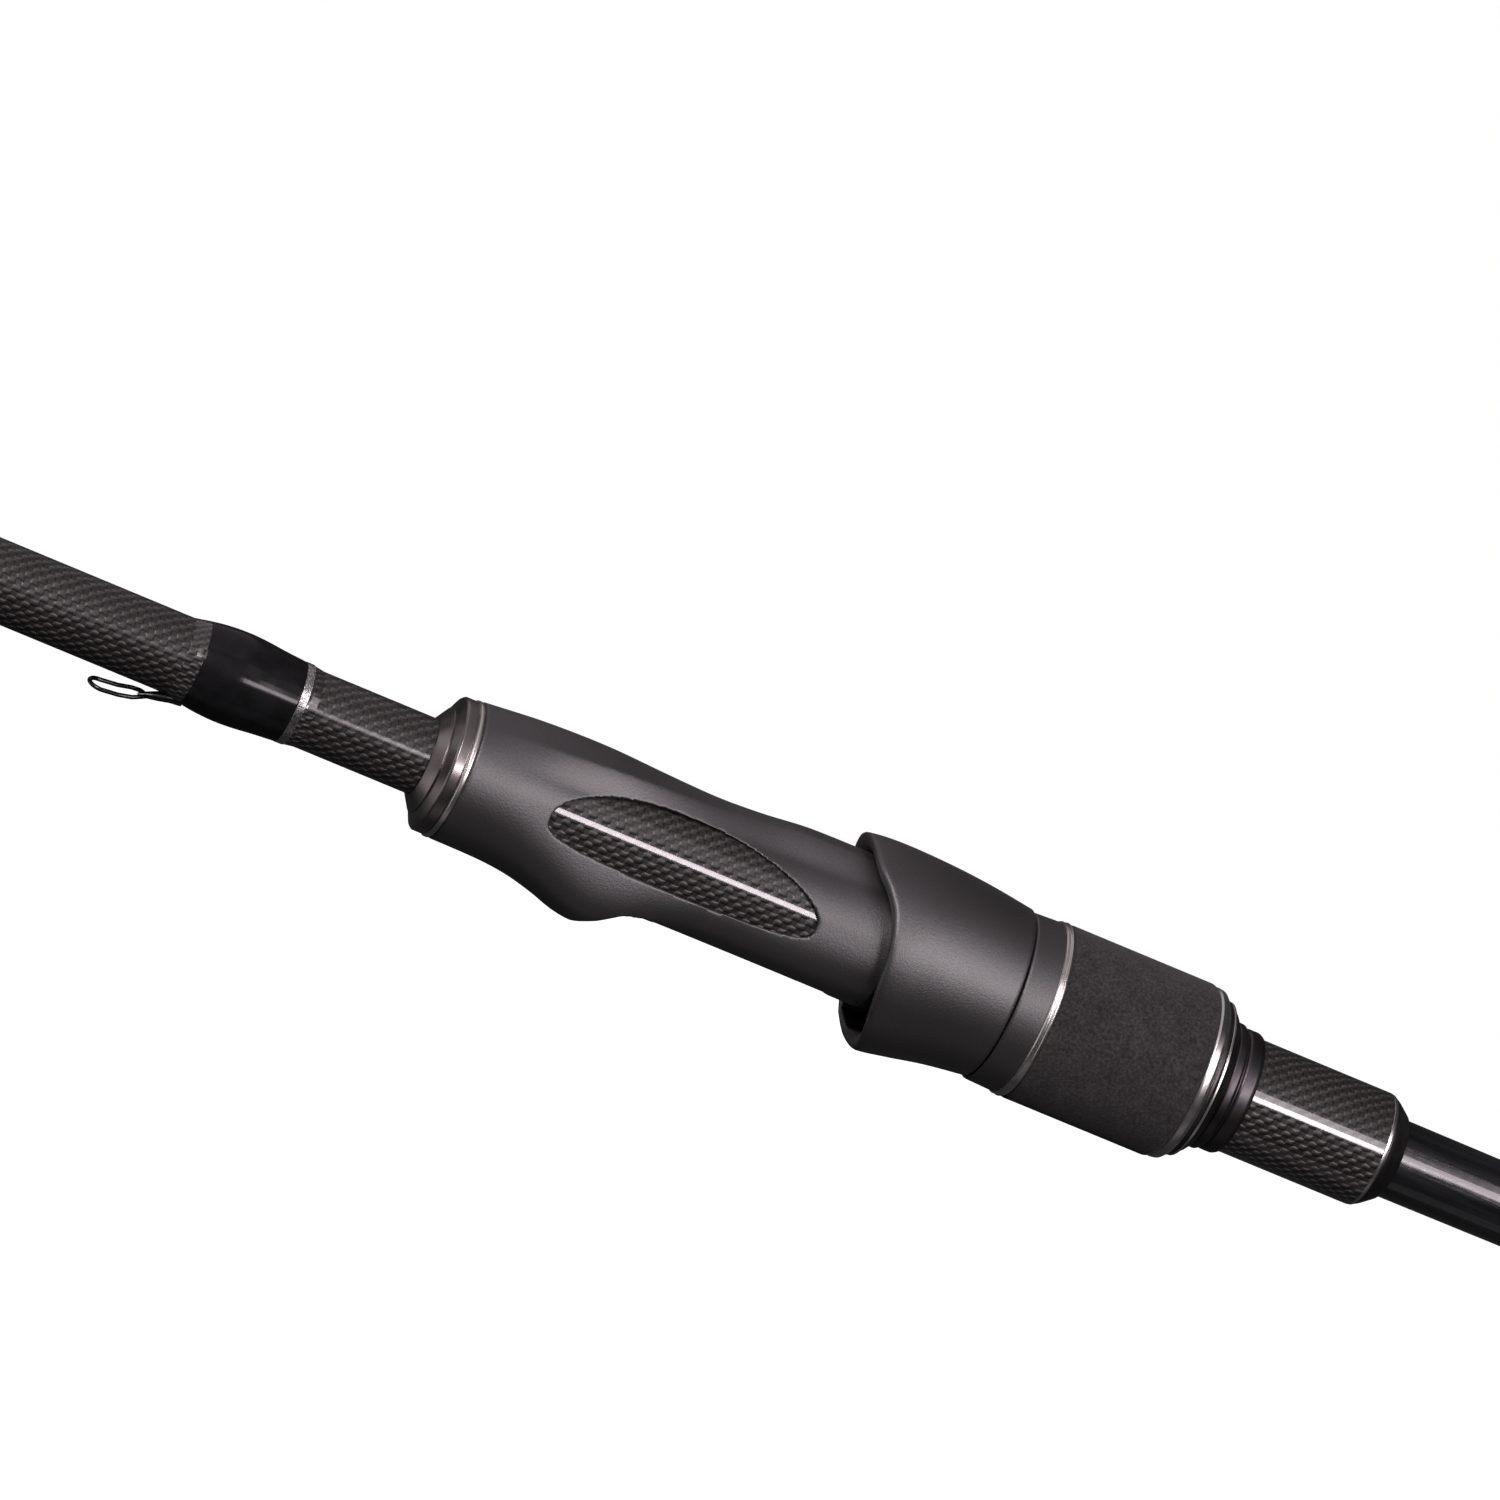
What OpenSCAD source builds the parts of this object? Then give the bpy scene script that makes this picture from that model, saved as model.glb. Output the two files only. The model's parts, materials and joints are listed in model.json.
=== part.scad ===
// Two-piece spinning rod: split butt grip, open reel seat with a screw-down hood
// ahead of the reel, eight line guides and a tip-top.
// Frame: +X runs from the butt to the tip along the blank's axis, +Z is up, and the
// reel and the guides hang on the -Z side. The origin is the centre of the butt face.

/* [Rod] */
// Length from the butt face to the front of the tip-top
rod_length = 1980; // [1900:10:2100]
// Outer radius of the blank just ahead of the reel seat
blank_r = 6.1; // [5.9:0.05:6.15]
// Outer radius of the blank at the thin end of the butt section
blank_joint_r = 3.5; // [3.4:0.05:3.6]
// Outer radius of the blank at the tip-top
blank_tip_r = 0.8; // [0.7:0.05:1]
// Wall thickness of the butt section
blank_wall = 1.1; // [0.8:0.1:1.4]

/* [Ferrule] */
// Place of the tip section's rear mouth
ferrule_x = 970; // [965:1:975]
// Length of the butt section that the tip section slides over
ferrule_grip = 65; // [50:5:70]
// Radial clearance between the two sections
ferrule_gap = 0.04; // [0.02:0.01:0.08]
// Wall thickness of the tip section over the joint
ferrule_wall = 0.85; // [0.7:0.05:1.1]

/* [Butt grip] */
// Radius of the foam grip and the rubber cap
grip_r = 13; // [12:0.25:13.5]
// Length of the rubber cap
cap_len = 9; // [8:1:12]
// Place where the foam's straight part ends
grip_straight_x = 74; // [60:2:80]
// Place where the foam ends
grip_end_x = 96; // [90:1:110]

/* [Handle tube] */
// Outer radius of the woven tube behind the reel seat
tube_r = 5.95; // [5.8:0.05:6]
// Bore radius of the woven tube
tube_bore = 5.1; // [4.8:0.1:5.2]
// Rear end of the wrap that holds the hook keeper
wrap_x = 190.5; // [180:0.5:200]

/* [Reel seat] */
// Place of the seat body's rear end
seat_x = 235; // [234:0.5:236]
// Length of the seat body
seat_len = 69; // [68:0.5:69]
// Outer radius of the woven pipe through the seat
pipe_r = 8.93; // [8.9:0.01:8.95]
// Bore radius of the woven pipe
pipe_bore = 8; // [7.6:0.1:8.2]
// Front end of the woven pipe
pipe_end_x = 385.1; // [384:0.1:386]
// Depth of the flat that the reel foot rests on, below the axis
land_z = 9.45; // [9.4:0.05:9.5]
// Half width of the pocket for the reel foot
pocket_half_w = 7.3; // [7:0.1:7.5]

/* [Screw-down hood] */
// Place of the seam between the hood and the turning collar
seam_x = 323.3; // [323:0.1:323.5]
// Radius of the hood's bore round the seat body
hood_bore = 12.46; // [12.4:0.02:12.5]
// Thread pitch of the barrel
pitch = 2; // [1.5:0.5:2.5]
// Outer radius of the thread on the barrel
thread_r = 10.2; // [10.1:0.05:10.2]
// Depth of the thread
thread_depth = 0.65; // [0.4:0.05:0.7]
// Radius of the nut's bore over the thread
nut_bore = 10.25; // [10.25:0.01:10.3]

/* [Foregrip] */
// Radius of the foam foregrip
foregrip_r = 13.75; // [13.5:0.05:14]
// Rear end of the foam foregrip
foregrip_x = 329.6; // [329.6:0.1:330]
// Front end of the foam foregrip
foregrip_end_x = 353.9; // [353.8:0.1:354]
// Bore radius of the neck that slides on the woven pipe
neck_bore = 8.99; // [8.98:0.01:9]

/* [Guides] */
// Place of the first ring from the reel
first_guide_x = 750; // [740:5:760]
// Gap from the first ring to the second
first_gap = 176; // [170:1:180]
// How much each later gap is shorter than the one before it
gap_step = 6; // [5:0.5:7]
// Inner radius of each ceramic ring, from the reel to the tip
ring_radii = [7.9, 4.6, 3.2, 2.3, 2.3, 2, 2, 2]; // [1.5:0.1:8]
// Clear height between the blank and each ring's holder
ring_gaps = [9, 4.6, 2.6, 1.6, 1.6, 1.4, 1.4, 1.4]; // [1:0.1:10]
// Forward lean of the rings
ring_lean = 12; // [0:1:20]

/* [Hidden] */
GUIDES = len(ring_radii);
BUTT_GUIDES = 2;

ROUND = 96;        // facets shown on turned pieces
SMALL = 32;        // facets shown on the guides' legs
WIRE_SIDES = 10;   // sides of a bent wire
LOFT_SIDES = 48;   // sides of a lofted section
FAR = 40;          // reach of a cutting tool past the handle

seat_end_x = seat_x + seat_len;
spigot_x = 238;
blank_x = 262;
spigot_end_x = 286;
blank_end_x = ferrule_x + ferrule_grip;
ring_wall = 0.9;      // radial thickness of a ceramic ring
ring_half = 1;        // half length of a ceramic ring
hoop_wall = 0.8;      // radial thickness of a ring holder
hoop_half = 0.8;      // half length of a ring holder
LEG_R = [0.55, 0.4];        // radius of a frame leg, on the big guides and the small ones
FOOT_THICK = [1.3, 0.95];   // thickness of a guide's foot
FOOT_HALF_W = [1.6, 1.15];  // half width of a guide's foot
wrap_thick = 0.35;    // thread and lacquer over a foot

// Seat outline below the axis, above it, and half its width, as [x, size]
SEAT_TOP = [[235, 10.8], [245, 11.6], [255, 11.8], [265, 11.35], [273, 11.1], [280, 11.4],
            [288, 12.1], [304, 12.15]];
SEAT_BOTTOM = [[235, 10.7], [243, 10.85], [248, 11.35], [252.5, 12.35], [257, 13.65],
               [260.5, 13.95], [264, 13.2], [268, 11.5], [275, 9.8], [304, 9.68]];
SEAT_HALF_W = [[235, 10.75], [243, 10.7], [250, 10], [257, 9.6], [265, 9.5], [285, 9.5],
               [293, 9.9], [304, 10.8]];
// How square the underside is: 2 is round
SEAT_SQUARE = [[235, 2], [245, 2.3], [256, 3.4], [268, 3.2], [276, 2.8], [304, 2.6]];
// Angle from the top where the spine's edge runs, as [x, angle]
SPINE_EDGE = [[235, 46], [250, 42], [265, 33], [280, 22], [304, 20]];
SPINE_FALL = 26;   // further angle over which the spine falls to the round side

// Hood outline above and below the axis, and half its width, as [x, size]
HOOD_TOP = [[295, 14.75], [299, 15.25], [304, 15.35], [311, 15.05], [317, 14.5], [324, 13.55]];
HOOD_BOTTOM = [[295, 13.2], [302, 14.2], [304.5, 15.2], [306.5, 15.6], [311, 14.9], [317, 13.75],
               [324, 12.85]];
HOOD_HALF_W = [[295, 13.9], [301, 14.5], [306, 14.7], [312, 14.2], [324, 13.3]];
// Place of the hood's mouth, by height above the axis
HOOD_MOUTH = [[-16, 306], [-11, 304.2], [-6, 303], [0, 302.3], [5, 301.1], [8, 299.5],
              [11.3, 297], [15, 295.2]];

// ---- helpers -------------------------------------------------------------

// Index of the stretch of a table that holds x
function stretch(x, table, i = 0) =
    (i >= len(table) - 2 || x < table[i + 1][0]) ? i : stretch(x, table, i + 1);

// Slope of a table at one of its points
function slope_at(table, i) =
    let (a = max(i - 1, 0), b = min(i + 1, len(table) - 1))
    (table[b][1] - table[a][1]) / (table[b][0] - table[a][0]);

// Smooth curve through the points of a table
function smooth(x, table) =
    let (i = stretch(x, table), h = table[i + 1][0] - table[i][0],
         t = min(max((x - table[i][0]) / h, 0), 1), u = 1 - t,
         rise = table[i + 1][1] - table[i][1])
    table[i][1] + rise * t * t * (3 - 2 * t)
        + h * t * u * (u * slope_at(table, i) - t * slope_at(table, i + 1));

function signed_power(v, p) = sign(v) * pow(abs(v), p);

// One section of a loft at angle a, where 0 is the top and +90 is the +Y side
function section_point(a, half_w, top, bottom, n_top, n_bottom) =
    let (up = cos(a) >= 0, n = up ? n_top : n_bottom)
    [half_w * signed_power(sin(a), 2 / n),
     (up ? top : bottom) * signed_power(cos(a), 2 / n)];

function angle(j) = 360 * j / LOFT_SIDES;

// Closed skin over rings of LOFT_SIDES points, with a fan at each end
module loft(rings, first_centre, last_centre) {
    n = LOFT_SIDES;
    m = len(rings);
    points = concat([for (r = rings) each r], [first_centre, last_centre]);
    sides = [for (i = [0:m - 2], j = [0:n - 1])
        let (a = i * n + j, b = i * n + (j + 1) % n)
        each [[a, b, b + n], [a, b + n, a + n]]];
    first = [for (j = [0:n - 1]) [m * n, (j + 1) % n, j]];
    last = [for (j = [0:n - 1]) [m * n + 1, (m - 1) * n + j, (m - 1) * n + (j + 1) % n]];
    polyhedron(points, concat(sides, first, last), convexity = 6);
}

// Solid of revolution about X from [radius, x] points
module turned(points) {
    rotate([0, 90, 0]) rotate_extrude($fn = ROUND) polygon(points);
}

module tube(x0, x1, outer, inner) {
    turned([[inner, x0], [outer, x0], [outer, x1], [inner, x1]]);
}

module rod(x0, x1, r) {
    translate([x0, 0, 0]) rotate([0, 90, 0]) cylinder(h = x1 - x0, r = r, $fn = ROUND);
}

// Straight round bar between two points
module bar(p, q, r) {
    v = q - p;
    translate(p)
        rotate([0, acos(v.z / norm(v)), atan2(v.y, v.x)])
            cylinder(h = norm(v), r = r, $fn = SMALL);
}

// Thin wire along a path that stays nearly level, as one closed skin
module wire(path, r) {
    n = WIRE_SIDES;
    m = len(path);
    points = [for (i = [0:m - 1])
        let (v = path[min(i + 1, m - 1)] - path[max(i - 1, 0)],
             side = [-v.y, v.x, 0] / norm([v.x, v.y]),
             up = cross(v, side) / norm(v))
        each [for (j = [0:n - 1])
            path[i] + r * (cos(360 * j / n) * side + sin(360 * j / n) * up)]];
    sides = [for (i = [0:m - 2], j = [0:n - 1])
        let (a = i * n + j, b = i * n + (j + 1) % n)
        each [[a, b + n, b], [a, a + n, b + n]]];
    polyhedron(points, concat(sides, [[for (j = [0:n - 1]) j]],
                              [[for (j = [n - 1:-1:0]) (m - 1) * n + j]]));
}

// The points of a half outline across the axis, in reverse
function mirrored(points) = [for (i = [len(points) - 1:-1:0]) [points[i][0], -points[i][1]]];

// Plate in the XZ plane, centred on Y
module side_plate(points, half_w) {
    translate([0, half_w, 0]) rotate([90, 0, 0]) linear_extrude(2 * half_w) polygon(points);
}

// Outer radius of the butt section and of the tip section
function butt_r(x) = lookup(x, [[pipe_end_x, blank_r], [blank_end_x, blank_joint_r]]);
function tip_r(x) = lookup(x,
    [[ferrule_x, butt_r(ferrule_x) + ferrule_gap + ferrule_wall],
     [blank_end_x + 10, blank_joint_r + ferrule_gap + ferrule_wall - 0.1],
     [1400, 2.65], [1700, 1.6], [rod_length - 4, blank_tip_r]]);
function shaft_r(x) = x < ferrule_x ? butt_r(x) : tip_r(x);

// Sleeve that hugs the tapering blank from x0 to x1
module hug(x0, x1, thick) {
    turned([[shaft_r(x0), x0], [shaft_r(x0) + thick * 0.5, x0], [shaft_r(x0 + 1) + thick, x0 + 1],
            [shaft_r(x1 - 1) + thick, x1 - 1], [shaft_r(x1) + thick * 0.5, x1], [shaft_r(x1), x1]]);
}

// ---- butt grip -----------------------------------------------------------

module butt_cap() {
    color("#141414")
        turned([[0, 0], [grip_r - 1.8, 0], [grip_r - 0.6, 0.5], [grip_r, 1.7], [grip_r, cap_len],
                [tube_r, cap_len], [tube_r, 3], [0, 3]]);
}

trim_end_x = cap_len + 1.6;
module butt_trim_ring() {
    color("silver") tube(cap_len, trim_end_x, grip_r - 0.2, tube_r);
}

module butt_grip() {
    run = grip_end_x - grip_straight_x;
    color("#2b2b2c")
        turned([[tube_r, trim_end_x], [grip_r, trim_end_x], [grip_r, grip_straight_x],
                [grip_r - 0.6, grip_straight_x + 0.22 * run],
                [grip_r - 2, grip_straight_x + 0.48 * run],
                [grip_r - 3.8, grip_straight_x + 0.75 * run],
                [grip_r - 4.9, grip_end_x], [tube_r, grip_end_x]]);
}

module grip_front_ring() {
    color("#55585c")
        turned([[tube_r, grip_end_x], [grip_r - 4.7, grip_end_x], [grip_r - 4.7, grip_end_x + 1.4],
                [tube_r + 0.6, grip_end_x + 3.2], [tube_r, grip_end_x + 3.2]]);
}

module handle_tube() {
    color("#26221f") tube(3, blank_x, tube_r, tube_bore);
}

// ---- hook keeper and its wrap --------------------------------------------

keeper_wire = 0.36;
keeper_half_w = 1.75;
keeper_z = -8.3;
keeper_tilt = 0.36;   // how much the loop is turned about the rod, as a slope
keeper_back_x = 181.4;
keeper_root = [wrap_x - 2.2, 0, -7.2];
keeper_tail = [wrap_x + 3, 0, -6.43];

function keeper_point(x, y, z) = [x, y, z + keeper_tilt * y];

// The loop's wire, from the root round the open end and back
KEEPER_PATH = concat(
    [keeper_root + [0, 0.3, 0.1], keeper_point(wrap_x - 4.4, keeper_half_w, keeper_z + 0.9)],
    [for (a = [90:22.5:270])
        keeper_point(keeper_back_x + keeper_half_w * cos(a), keeper_half_w * sin(a), keeper_z)],
    [keeper_point(wrap_x - 4.4, -keeper_half_w, keeper_z + 0.9),
     keeper_root - [0, 0.3, 0.1]]);

module hook_keeper() {
    color("#1a1a1a") {
        wire(KEEPER_PATH, keeper_wire);
        wire([keeper_root - [0.5, 0, 0.1], keeper_root + [0.6, 0, 0.15], keeper_tail],
             keeper_wire + 0.08);
    }
}

band_x = wrap_x + 17.8;
band_end_x = band_x + 1.3;
band_seat = tube_r + 0.17;
module keeper_wrap() {
    color("#080808")
        difference() {
            turned([[tube_r, wrap_x], [tube_r + 0.3, wrap_x + 1.6], [tube_r + 0.85, wrap_x + 5],
                    [tube_r + 1.05, wrap_x + 8.2], [tube_r + 0.95, wrap_x + 11],
                    [tube_r + 0.6, wrap_x + 14.5], [tube_r + 0.33, band_x], [band_seat, band_x],
                    [band_seat, band_end_x], [tube_r + 0.25, band_end_x],
                    [tube_r, band_end_x + 1.6]]);
            wire([keeper_root + [0.6, 0, 0.15], keeper_tail, keeper_tail + [0.1, 0, 0.03]],
                 keeper_wire + 0.1);
        }
}

module keeper_wrap_band() {
    color("silver") tube(band_x, band_end_x, tube_r + 0.38, band_seat);
}

// ---- reel seat -----------------------------------------------------------

check_x = seat_x - 5.4;
rim_x = seat_x - 1;
module winding_check() {
    color("#4c4f53")
        turned([[tube_r, check_x], [tube_r + 0.35, check_x], [8.35, check_x + 1.4],
                [8.35, check_x + 1.7], [8.65, check_x + 1.7], [10.3, check_x + 2.5],
                [10.54, check_x + 2.8], [10.54, rim_x - 0.2], [10.3, rim_x],
                [tube_r, rim_x]]);
}

module winding_check_rim() {
    color("silver")
        turned([[tube_r, rim_x], [10.35, rim_x], [10.75, rim_x + 0.25], [10.75, rim_x + 0.75],
                [10.45, seat_x], [tube_r, seat_x]]);
}

module rear_arbor() {
    color("#3a3a3a") tube(seat_x + 1, seat_x + 15, pipe_bore, tube_r);
}

module joint_spigot() {
    color("#202020") tube(spigot_x, spigot_end_x, tube_bore, tube_bore - 1.2);
}

module middle_arbor() {
    color("#3a3a3a") tube(blank_x + 10, blank_x + 26, pipe_bore, blank_r);
}

module front_arbor() {
    color("#3a3a3a") tube(pipe_end_x - 16, pipe_end_x, pipe_bore, blank_r);
}

module seat_pipe() {
    color("#2a2623") tube(seat_x, pipe_end_x, pipe_r, pipe_bore);
}

// The upper half is round at the sides, with a raised spine; the lower half is squarer
function spine_share(a, x) =
    let (t = min(max((smooth(x, SPINE_EDGE) + SPINE_FALL - a) / SPINE_FALL, 0), 1))
    t * t * (1.6 - 0.6 * t);

function seat_point(a, x) =
    let (half_w = smooth(x, SEAT_HALF_W), off_top = min(a, 360 - a),
         r = half_w + (smooth(x, SEAT_TOP) - half_w) * spine_share(off_top, x))
    off_top <= 90 ? [r * sin(a), r * cos(a)]
        : section_point(a, half_w, half_w, smooth(x, SEAT_BOTTOM), 2, smooth(x, SEAT_SQUARE));

function seat_ring(x) = [for (j = [0:LOFT_SIDES - 1])
    let (p = seat_point(angle(j), x)) [x, p[0], p[1]]];

// Outline of the side window: [x, z], walked round its edge
window_x = 270.4;
window_half = 21.6;
WINDOW = [for (a = [0:7.5:352.5])
    let (c = cos(a), s = sin(a))
    [window_x + window_half * signed_power(c, 0.95),
     -0.6 + (s > 0 ? 7.4 * pow(s, 1.15) : -3.9 * pow(-s, 0.42)) + 0.4 * (s > 0 ? -c : 0) * abs(s)]];

module seat_window() {
    for (side = [-1, 1])
        translate([0, side * (4 + FAR / 2), 0]) side_plate(WINDOW, FAR / 2);
}

// Slanting front of the fixed hood, and all below it
module fixed_hood_mouth_cut() {
    side_plate([[258.6, -14.1], [264.8, -10.4], [268, -9.85], [276, -9.85], [276, -FAR],
                [258.6, -FAR]], FAR);
}

// Pocket that takes the rear end of the reel foot: rounded in plan and in section
module fixed_pocket() {
    half_plan = [[247.5, 3], [249, 4.3], [251, 5.3], [254, 6.4], [258.5, pocket_half_w],
                 [273, pocket_half_w]];
    half_section = [[-8, pocket_half_w], [-9.9, pocket_half_w], [-10.8, 6.9], [-11.7, 5.7],
                    [-12.4, 3.6]];
    intersection() {
        side_plate([[247.5, -9.55], [247.5, -10.5], [258.5, -12.2], [272, -13],
                    [272, -9.55]], FAR);
        translate([0, 0, -FAR]) linear_extrude(FAR)
            polygon(concat(half_plan, mirrored(half_plan)));
        translate([240, 0, 0]) rotate([90, 0, 90]) linear_extrude(FAR)
            polygon([for (p = concat(half_section, mirrored(half_section))) [p[1], p[0]]]);
    }
}

module reel_foot_land() {
    translate([269.5, -pocket_half_w, -FAR]) cube([30, 2 * pocket_half_w, FAR - land_z]);
}

module seat_body() {
    steps = 34;
    color("#313033")
        difference() {
            loft([for (i = [0:steps]) seat_ring(seat_x + seat_len * i / steps)],
                 [seat_x, 0, 0], [seat_end_x, 0, 0]);
            rod(seat_x - 1, seat_end_x + 1, pipe_r);
            seat_window();
            fixed_hood_mouth_cut();
            fixed_pocket();
            reel_foot_land();
        }
}

barrel_end_x = 348.5;
module threaded_barrel() {
    root = thread_r - thread_depth;
    turns = floor((barrel_end_x - 304) / pitch) - 1;
    thread = [for (i = [0:turns])
        let (x = 304.5 + pitch * i)
        each [[root, x], [thread_r, x + 0.3 * pitch], [thread_r, x + 0.5 * pitch],
              [root, x + 0.8 * pitch]]];
    color("#1e1e20")
        difference() {
            turned(concat([[pipe_r, seat_end_x], [root, seat_end_x]], thread,
                          [[root, barrel_end_x], [pipe_r, barrel_end_x]]));
            translate([seat_end_x - 1, -1.2, 9.35]) cube([FAR + 10, 2.4, 2]);
        }
}

// ---- screw-down hood -----------------------------------------------------

function hood_ring(t) = [for (j = [0:LOFT_SIDES - 1])
    let (a = angle(j),
         z_guess = section_point(a, 14.5, 15, 15, 2, 2)[1],
         x = smooth(z_guess, HOOD_MOUTH) * (1 - t) + seam_x * t,
         p = section_point(a, smooth(x, HOOD_HALF_W), smooth(x, HOOD_TOP),
                           smooth(x, HOOD_BOTTOM), 2, 2))
    [x, p[0], p[1]]];

ring_groove_x = 319;
module moving_hood() {
    steps = 12;
    color("#333235")
        difference() {
            loft([for (i = [0:steps]) hood_ring(i / steps)], [305.5, 0, 0], [seam_x, 0, 0]);
            rod(seam_x - FAR, 316.2, hood_bore);
            rod(316, seam_x + 1, 11.8);
            rod(ring_groove_x, ring_groove_x + 1.4, 12.4);
            intersection() {
                side_plate([[290, -8], [290, -13], [306, -13], [315, -12.4], [315, -8]], 9);
                rod(289, 316, 14);
            }
        }
}

module hood_key() {
    color("#1e1e20")
        intersection() {
            translate([308.6, -1, 9.7]) cube([7, 2, 5]);
            rod(300, 320, hood_bore);
        }
}

module hood_retaining_ring() {
    color("#8a8d90")
        difference() {
            tube(ring_groove_x + 0.1, ring_groove_x + 1.3, 12.35, 11.15);
            translate([ring_groove_x - 1, -1.5, 0]) cube([4, 3, 20]);
        }
}

// ---- foregrip, turns on the thread ---------------------------------------

sleeve_r = 12;
collar_x = seam_x + 0.3;
collar_end_x = foregrip_x - 1.3;
nut_end_x = foregrip_end_x + 1.9;
nose_end_x = 358.6;
module hood_collar() {
    color("#303033")
        turned([[sleeve_r, collar_x], [13.1, collar_x], [13.3, collar_x + 0.3],
                [13.5, collar_end_x], [sleeve_r, collar_end_x]]);
}

module foregrip_nut() {
    color("#232325")
        turned([[nut_bore, 316.5], [11.45, 316.5], [11.45, ring_groove_x - 0.15],
                [10.9, ring_groove_x - 0.15], [10.9, ring_groove_x + 1.55],
                [11.45, ring_groove_x + 1.55], [11.45, collar_x], [sleeve_r, collar_x],
                [sleeve_r, nut_end_x], [neck_bore, nut_end_x], [neck_bore, 353.5],
                [nut_bore, 353.5]]);
}

module foregrip_rear_ring() {
    color("silver")
        turned([[sleeve_r, collar_end_x], [13.5, collar_end_x], [13.78, collar_end_x + 0.25],
                [13.5, collar_end_x + 0.55], [13.5, collar_end_x + 0.7],
                [13.85, collar_end_x + 0.95], [13.7, foregrip_x], [sleeve_r, foregrip_x]]);
}

module foregrip() {
    color("#333334")
        turned([[sleeve_r, foregrip_x], [foregrip_r - 0.25, foregrip_x],
                [foregrip_r, foregrip_x + 0.6], [foregrip_r, foregrip_end_x - 0.6],
                [foregrip_r - 0.3, foregrip_end_x], [sleeve_r, foregrip_end_x]]);
}

module foregrip_front_ring() {
    color("silver")
        turned([[sleeve_r, foregrip_end_x], [13.3, foregrip_end_x], [13.55, foregrip_end_x + 0.4],
                [13.4, foregrip_end_x + 1.3], [12.95, nut_end_x - 0.15], [12.7, nut_end_x],
                [sleeve_r, nut_end_x]]);
}

module nose_cone() {
    color("#1c1c1d")
        turned([[neck_bore, nut_end_x], [12.45, nut_end_x], [12.45, nut_end_x + 0.6],
                [12, nut_end_x + 0.9], [12, nut_end_x + 1.3], [11.9, nut_end_x + 1.35],
                [11.2, nut_end_x + 2.2], [10.4, nose_end_x], [neck_bore, nose_end_x]]);
}

module nose_line_ring() {
    color("silver") tube(nut_end_x + 0.9, nut_end_x + 1.3, 12.28, 12);
}

module neck_ring_rear() {
    color("#1a1a1a")
        turned([[neck_bore, nose_end_x], [9.6, nose_end_x], [9.95, nose_end_x + 0.4],
                [9.95, nose_end_x + 1.5], [9.5, nose_end_x + 1.8], [9.5, nose_end_x + 2.1],
                [neck_bore, nose_end_x + 2.1]]);
}

module neck_ring_front() {
    color("#1a1a1a")
        turned([[neck_bore, nose_end_x + 2.1], [9.35, nose_end_x + 2.1],
                [9.6, nose_end_x + 2.4], [9.6, nose_end_x + 4.1], [9.3, nose_end_x + 4.7],
                [neck_bore, nose_end_x + 4.7]]);
}

// ---- blank ---------------------------------------------------------------

end_ring_x = pipe_end_x + 0.6;
module pipe_end_ring() {
    color("silver")
        turned([[blank_r, pipe_end_x], [pipe_r, pipe_end_x], [8.8, end_ring_x],
                [blank_r, end_ring_x]]);
}

module blank_taper_cone() {
    color("#101010")
        turned([[butt_r(end_ring_x), end_ring_x], [8.72, end_ring_x], [8.3, end_ring_x + 0.8],
                [6.7, end_ring_x + 2.9], [butt_r(end_ring_x + 3.2), end_ring_x + 3.2]]);
}

module butt_blank() {
    color("#0b0b0c")
        turned([[tube_bore, blank_x], [blank_r, blank_x], [blank_r, pipe_end_x],
                [blank_joint_r, blank_end_x], [blank_joint_r - blank_wall, blank_end_x],
                [blank_r - blank_wall, pipe_end_x], [blank_r - blank_wall, spigot_end_x + 1],
                [tube_bore, spigot_end_x]]);
}

module ferrule_plug() {
    inner = blank_joint_r - blank_wall;
    color("#1a1a1a")
        turned([[0, blank_end_x - 6], [inner, blank_end_x - 6], [inner, blank_end_x],
                [blank_joint_r - 0.3, blank_end_x], [blank_joint_r - 0.5, blank_end_x + 1],
                [0, blank_end_x + 1]]);
}

socket_end_x = blank_end_x + 2;
module tip_blank() {
    bore = blank_joint_r + ferrule_gap;
    color("#0b0b0c")
        turned([[butt_r(ferrule_x) + ferrule_gap, ferrule_x], [tip_r(ferrule_x), ferrule_x],
                [tip_r(blank_end_x + 10), blank_end_x + 10], [tip_r(1400), 1400],
                [tip_r(1700), 1700], [blank_tip_r, rod_length - 4], [0, rod_length - 4],
                [0, 1650], [tip_r(1400) - 1, 1400], [bore - 0.6, socket_end_x + 1],
                [bore, socket_end_x], [bore, blank_end_x]]);
}

module ferrule_wrap() {
    color("#080808") hug(ferrule_x + 2, ferrule_x + 24, 0.4);
}

module ferrule_band() {
    color("silver") tube(ferrule_x + 24, ferrule_x + 25.4, tip_r(ferrule_x + 24) + 0.35,
                         tip_r(ferrule_x + 24));
}

// ---- guides --------------------------------------------------------------

function guide_x(i) = first_guide_x + i * first_gap - gap_step * i * (i - 1) / 2;
function hoop_r(i) = ring_radii[i] + ring_wall + hoop_wall;
function guide_z(i) = -(shaft_r(guide_x(i)) + ring_gaps[i] + hoop_r(i));

// Feet of guide i, each [first x, last x]: one ahead, and one behind on the big guides
function reach(i) = 0.9 * ring_gaps[i] + 3;
function feet(i) = let (x = guide_x(i), r = reach(i), long = i < BUTT_GUIDES ? 13 : 8)
    concat([[x + r, x + r + long]], i < BUTT_GUIDES ? [[x - r - 11, x - r]] : []);

// 0 for the big guides on the butt section, 1 for the small ones
function size_of(i) = i < BUTT_GUIDES ? 0 : 1;

module foot_block(i, f) {
    drop = shaft_r(f[0]) + FOOT_THICK[size_of(i)];
    half_w = FOOT_HALF_W[size_of(i)];
    translate([f[0], -half_w, -drop]) cube([f[1] - f[0], 2 * half_w, drop - 1]);
}

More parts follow.
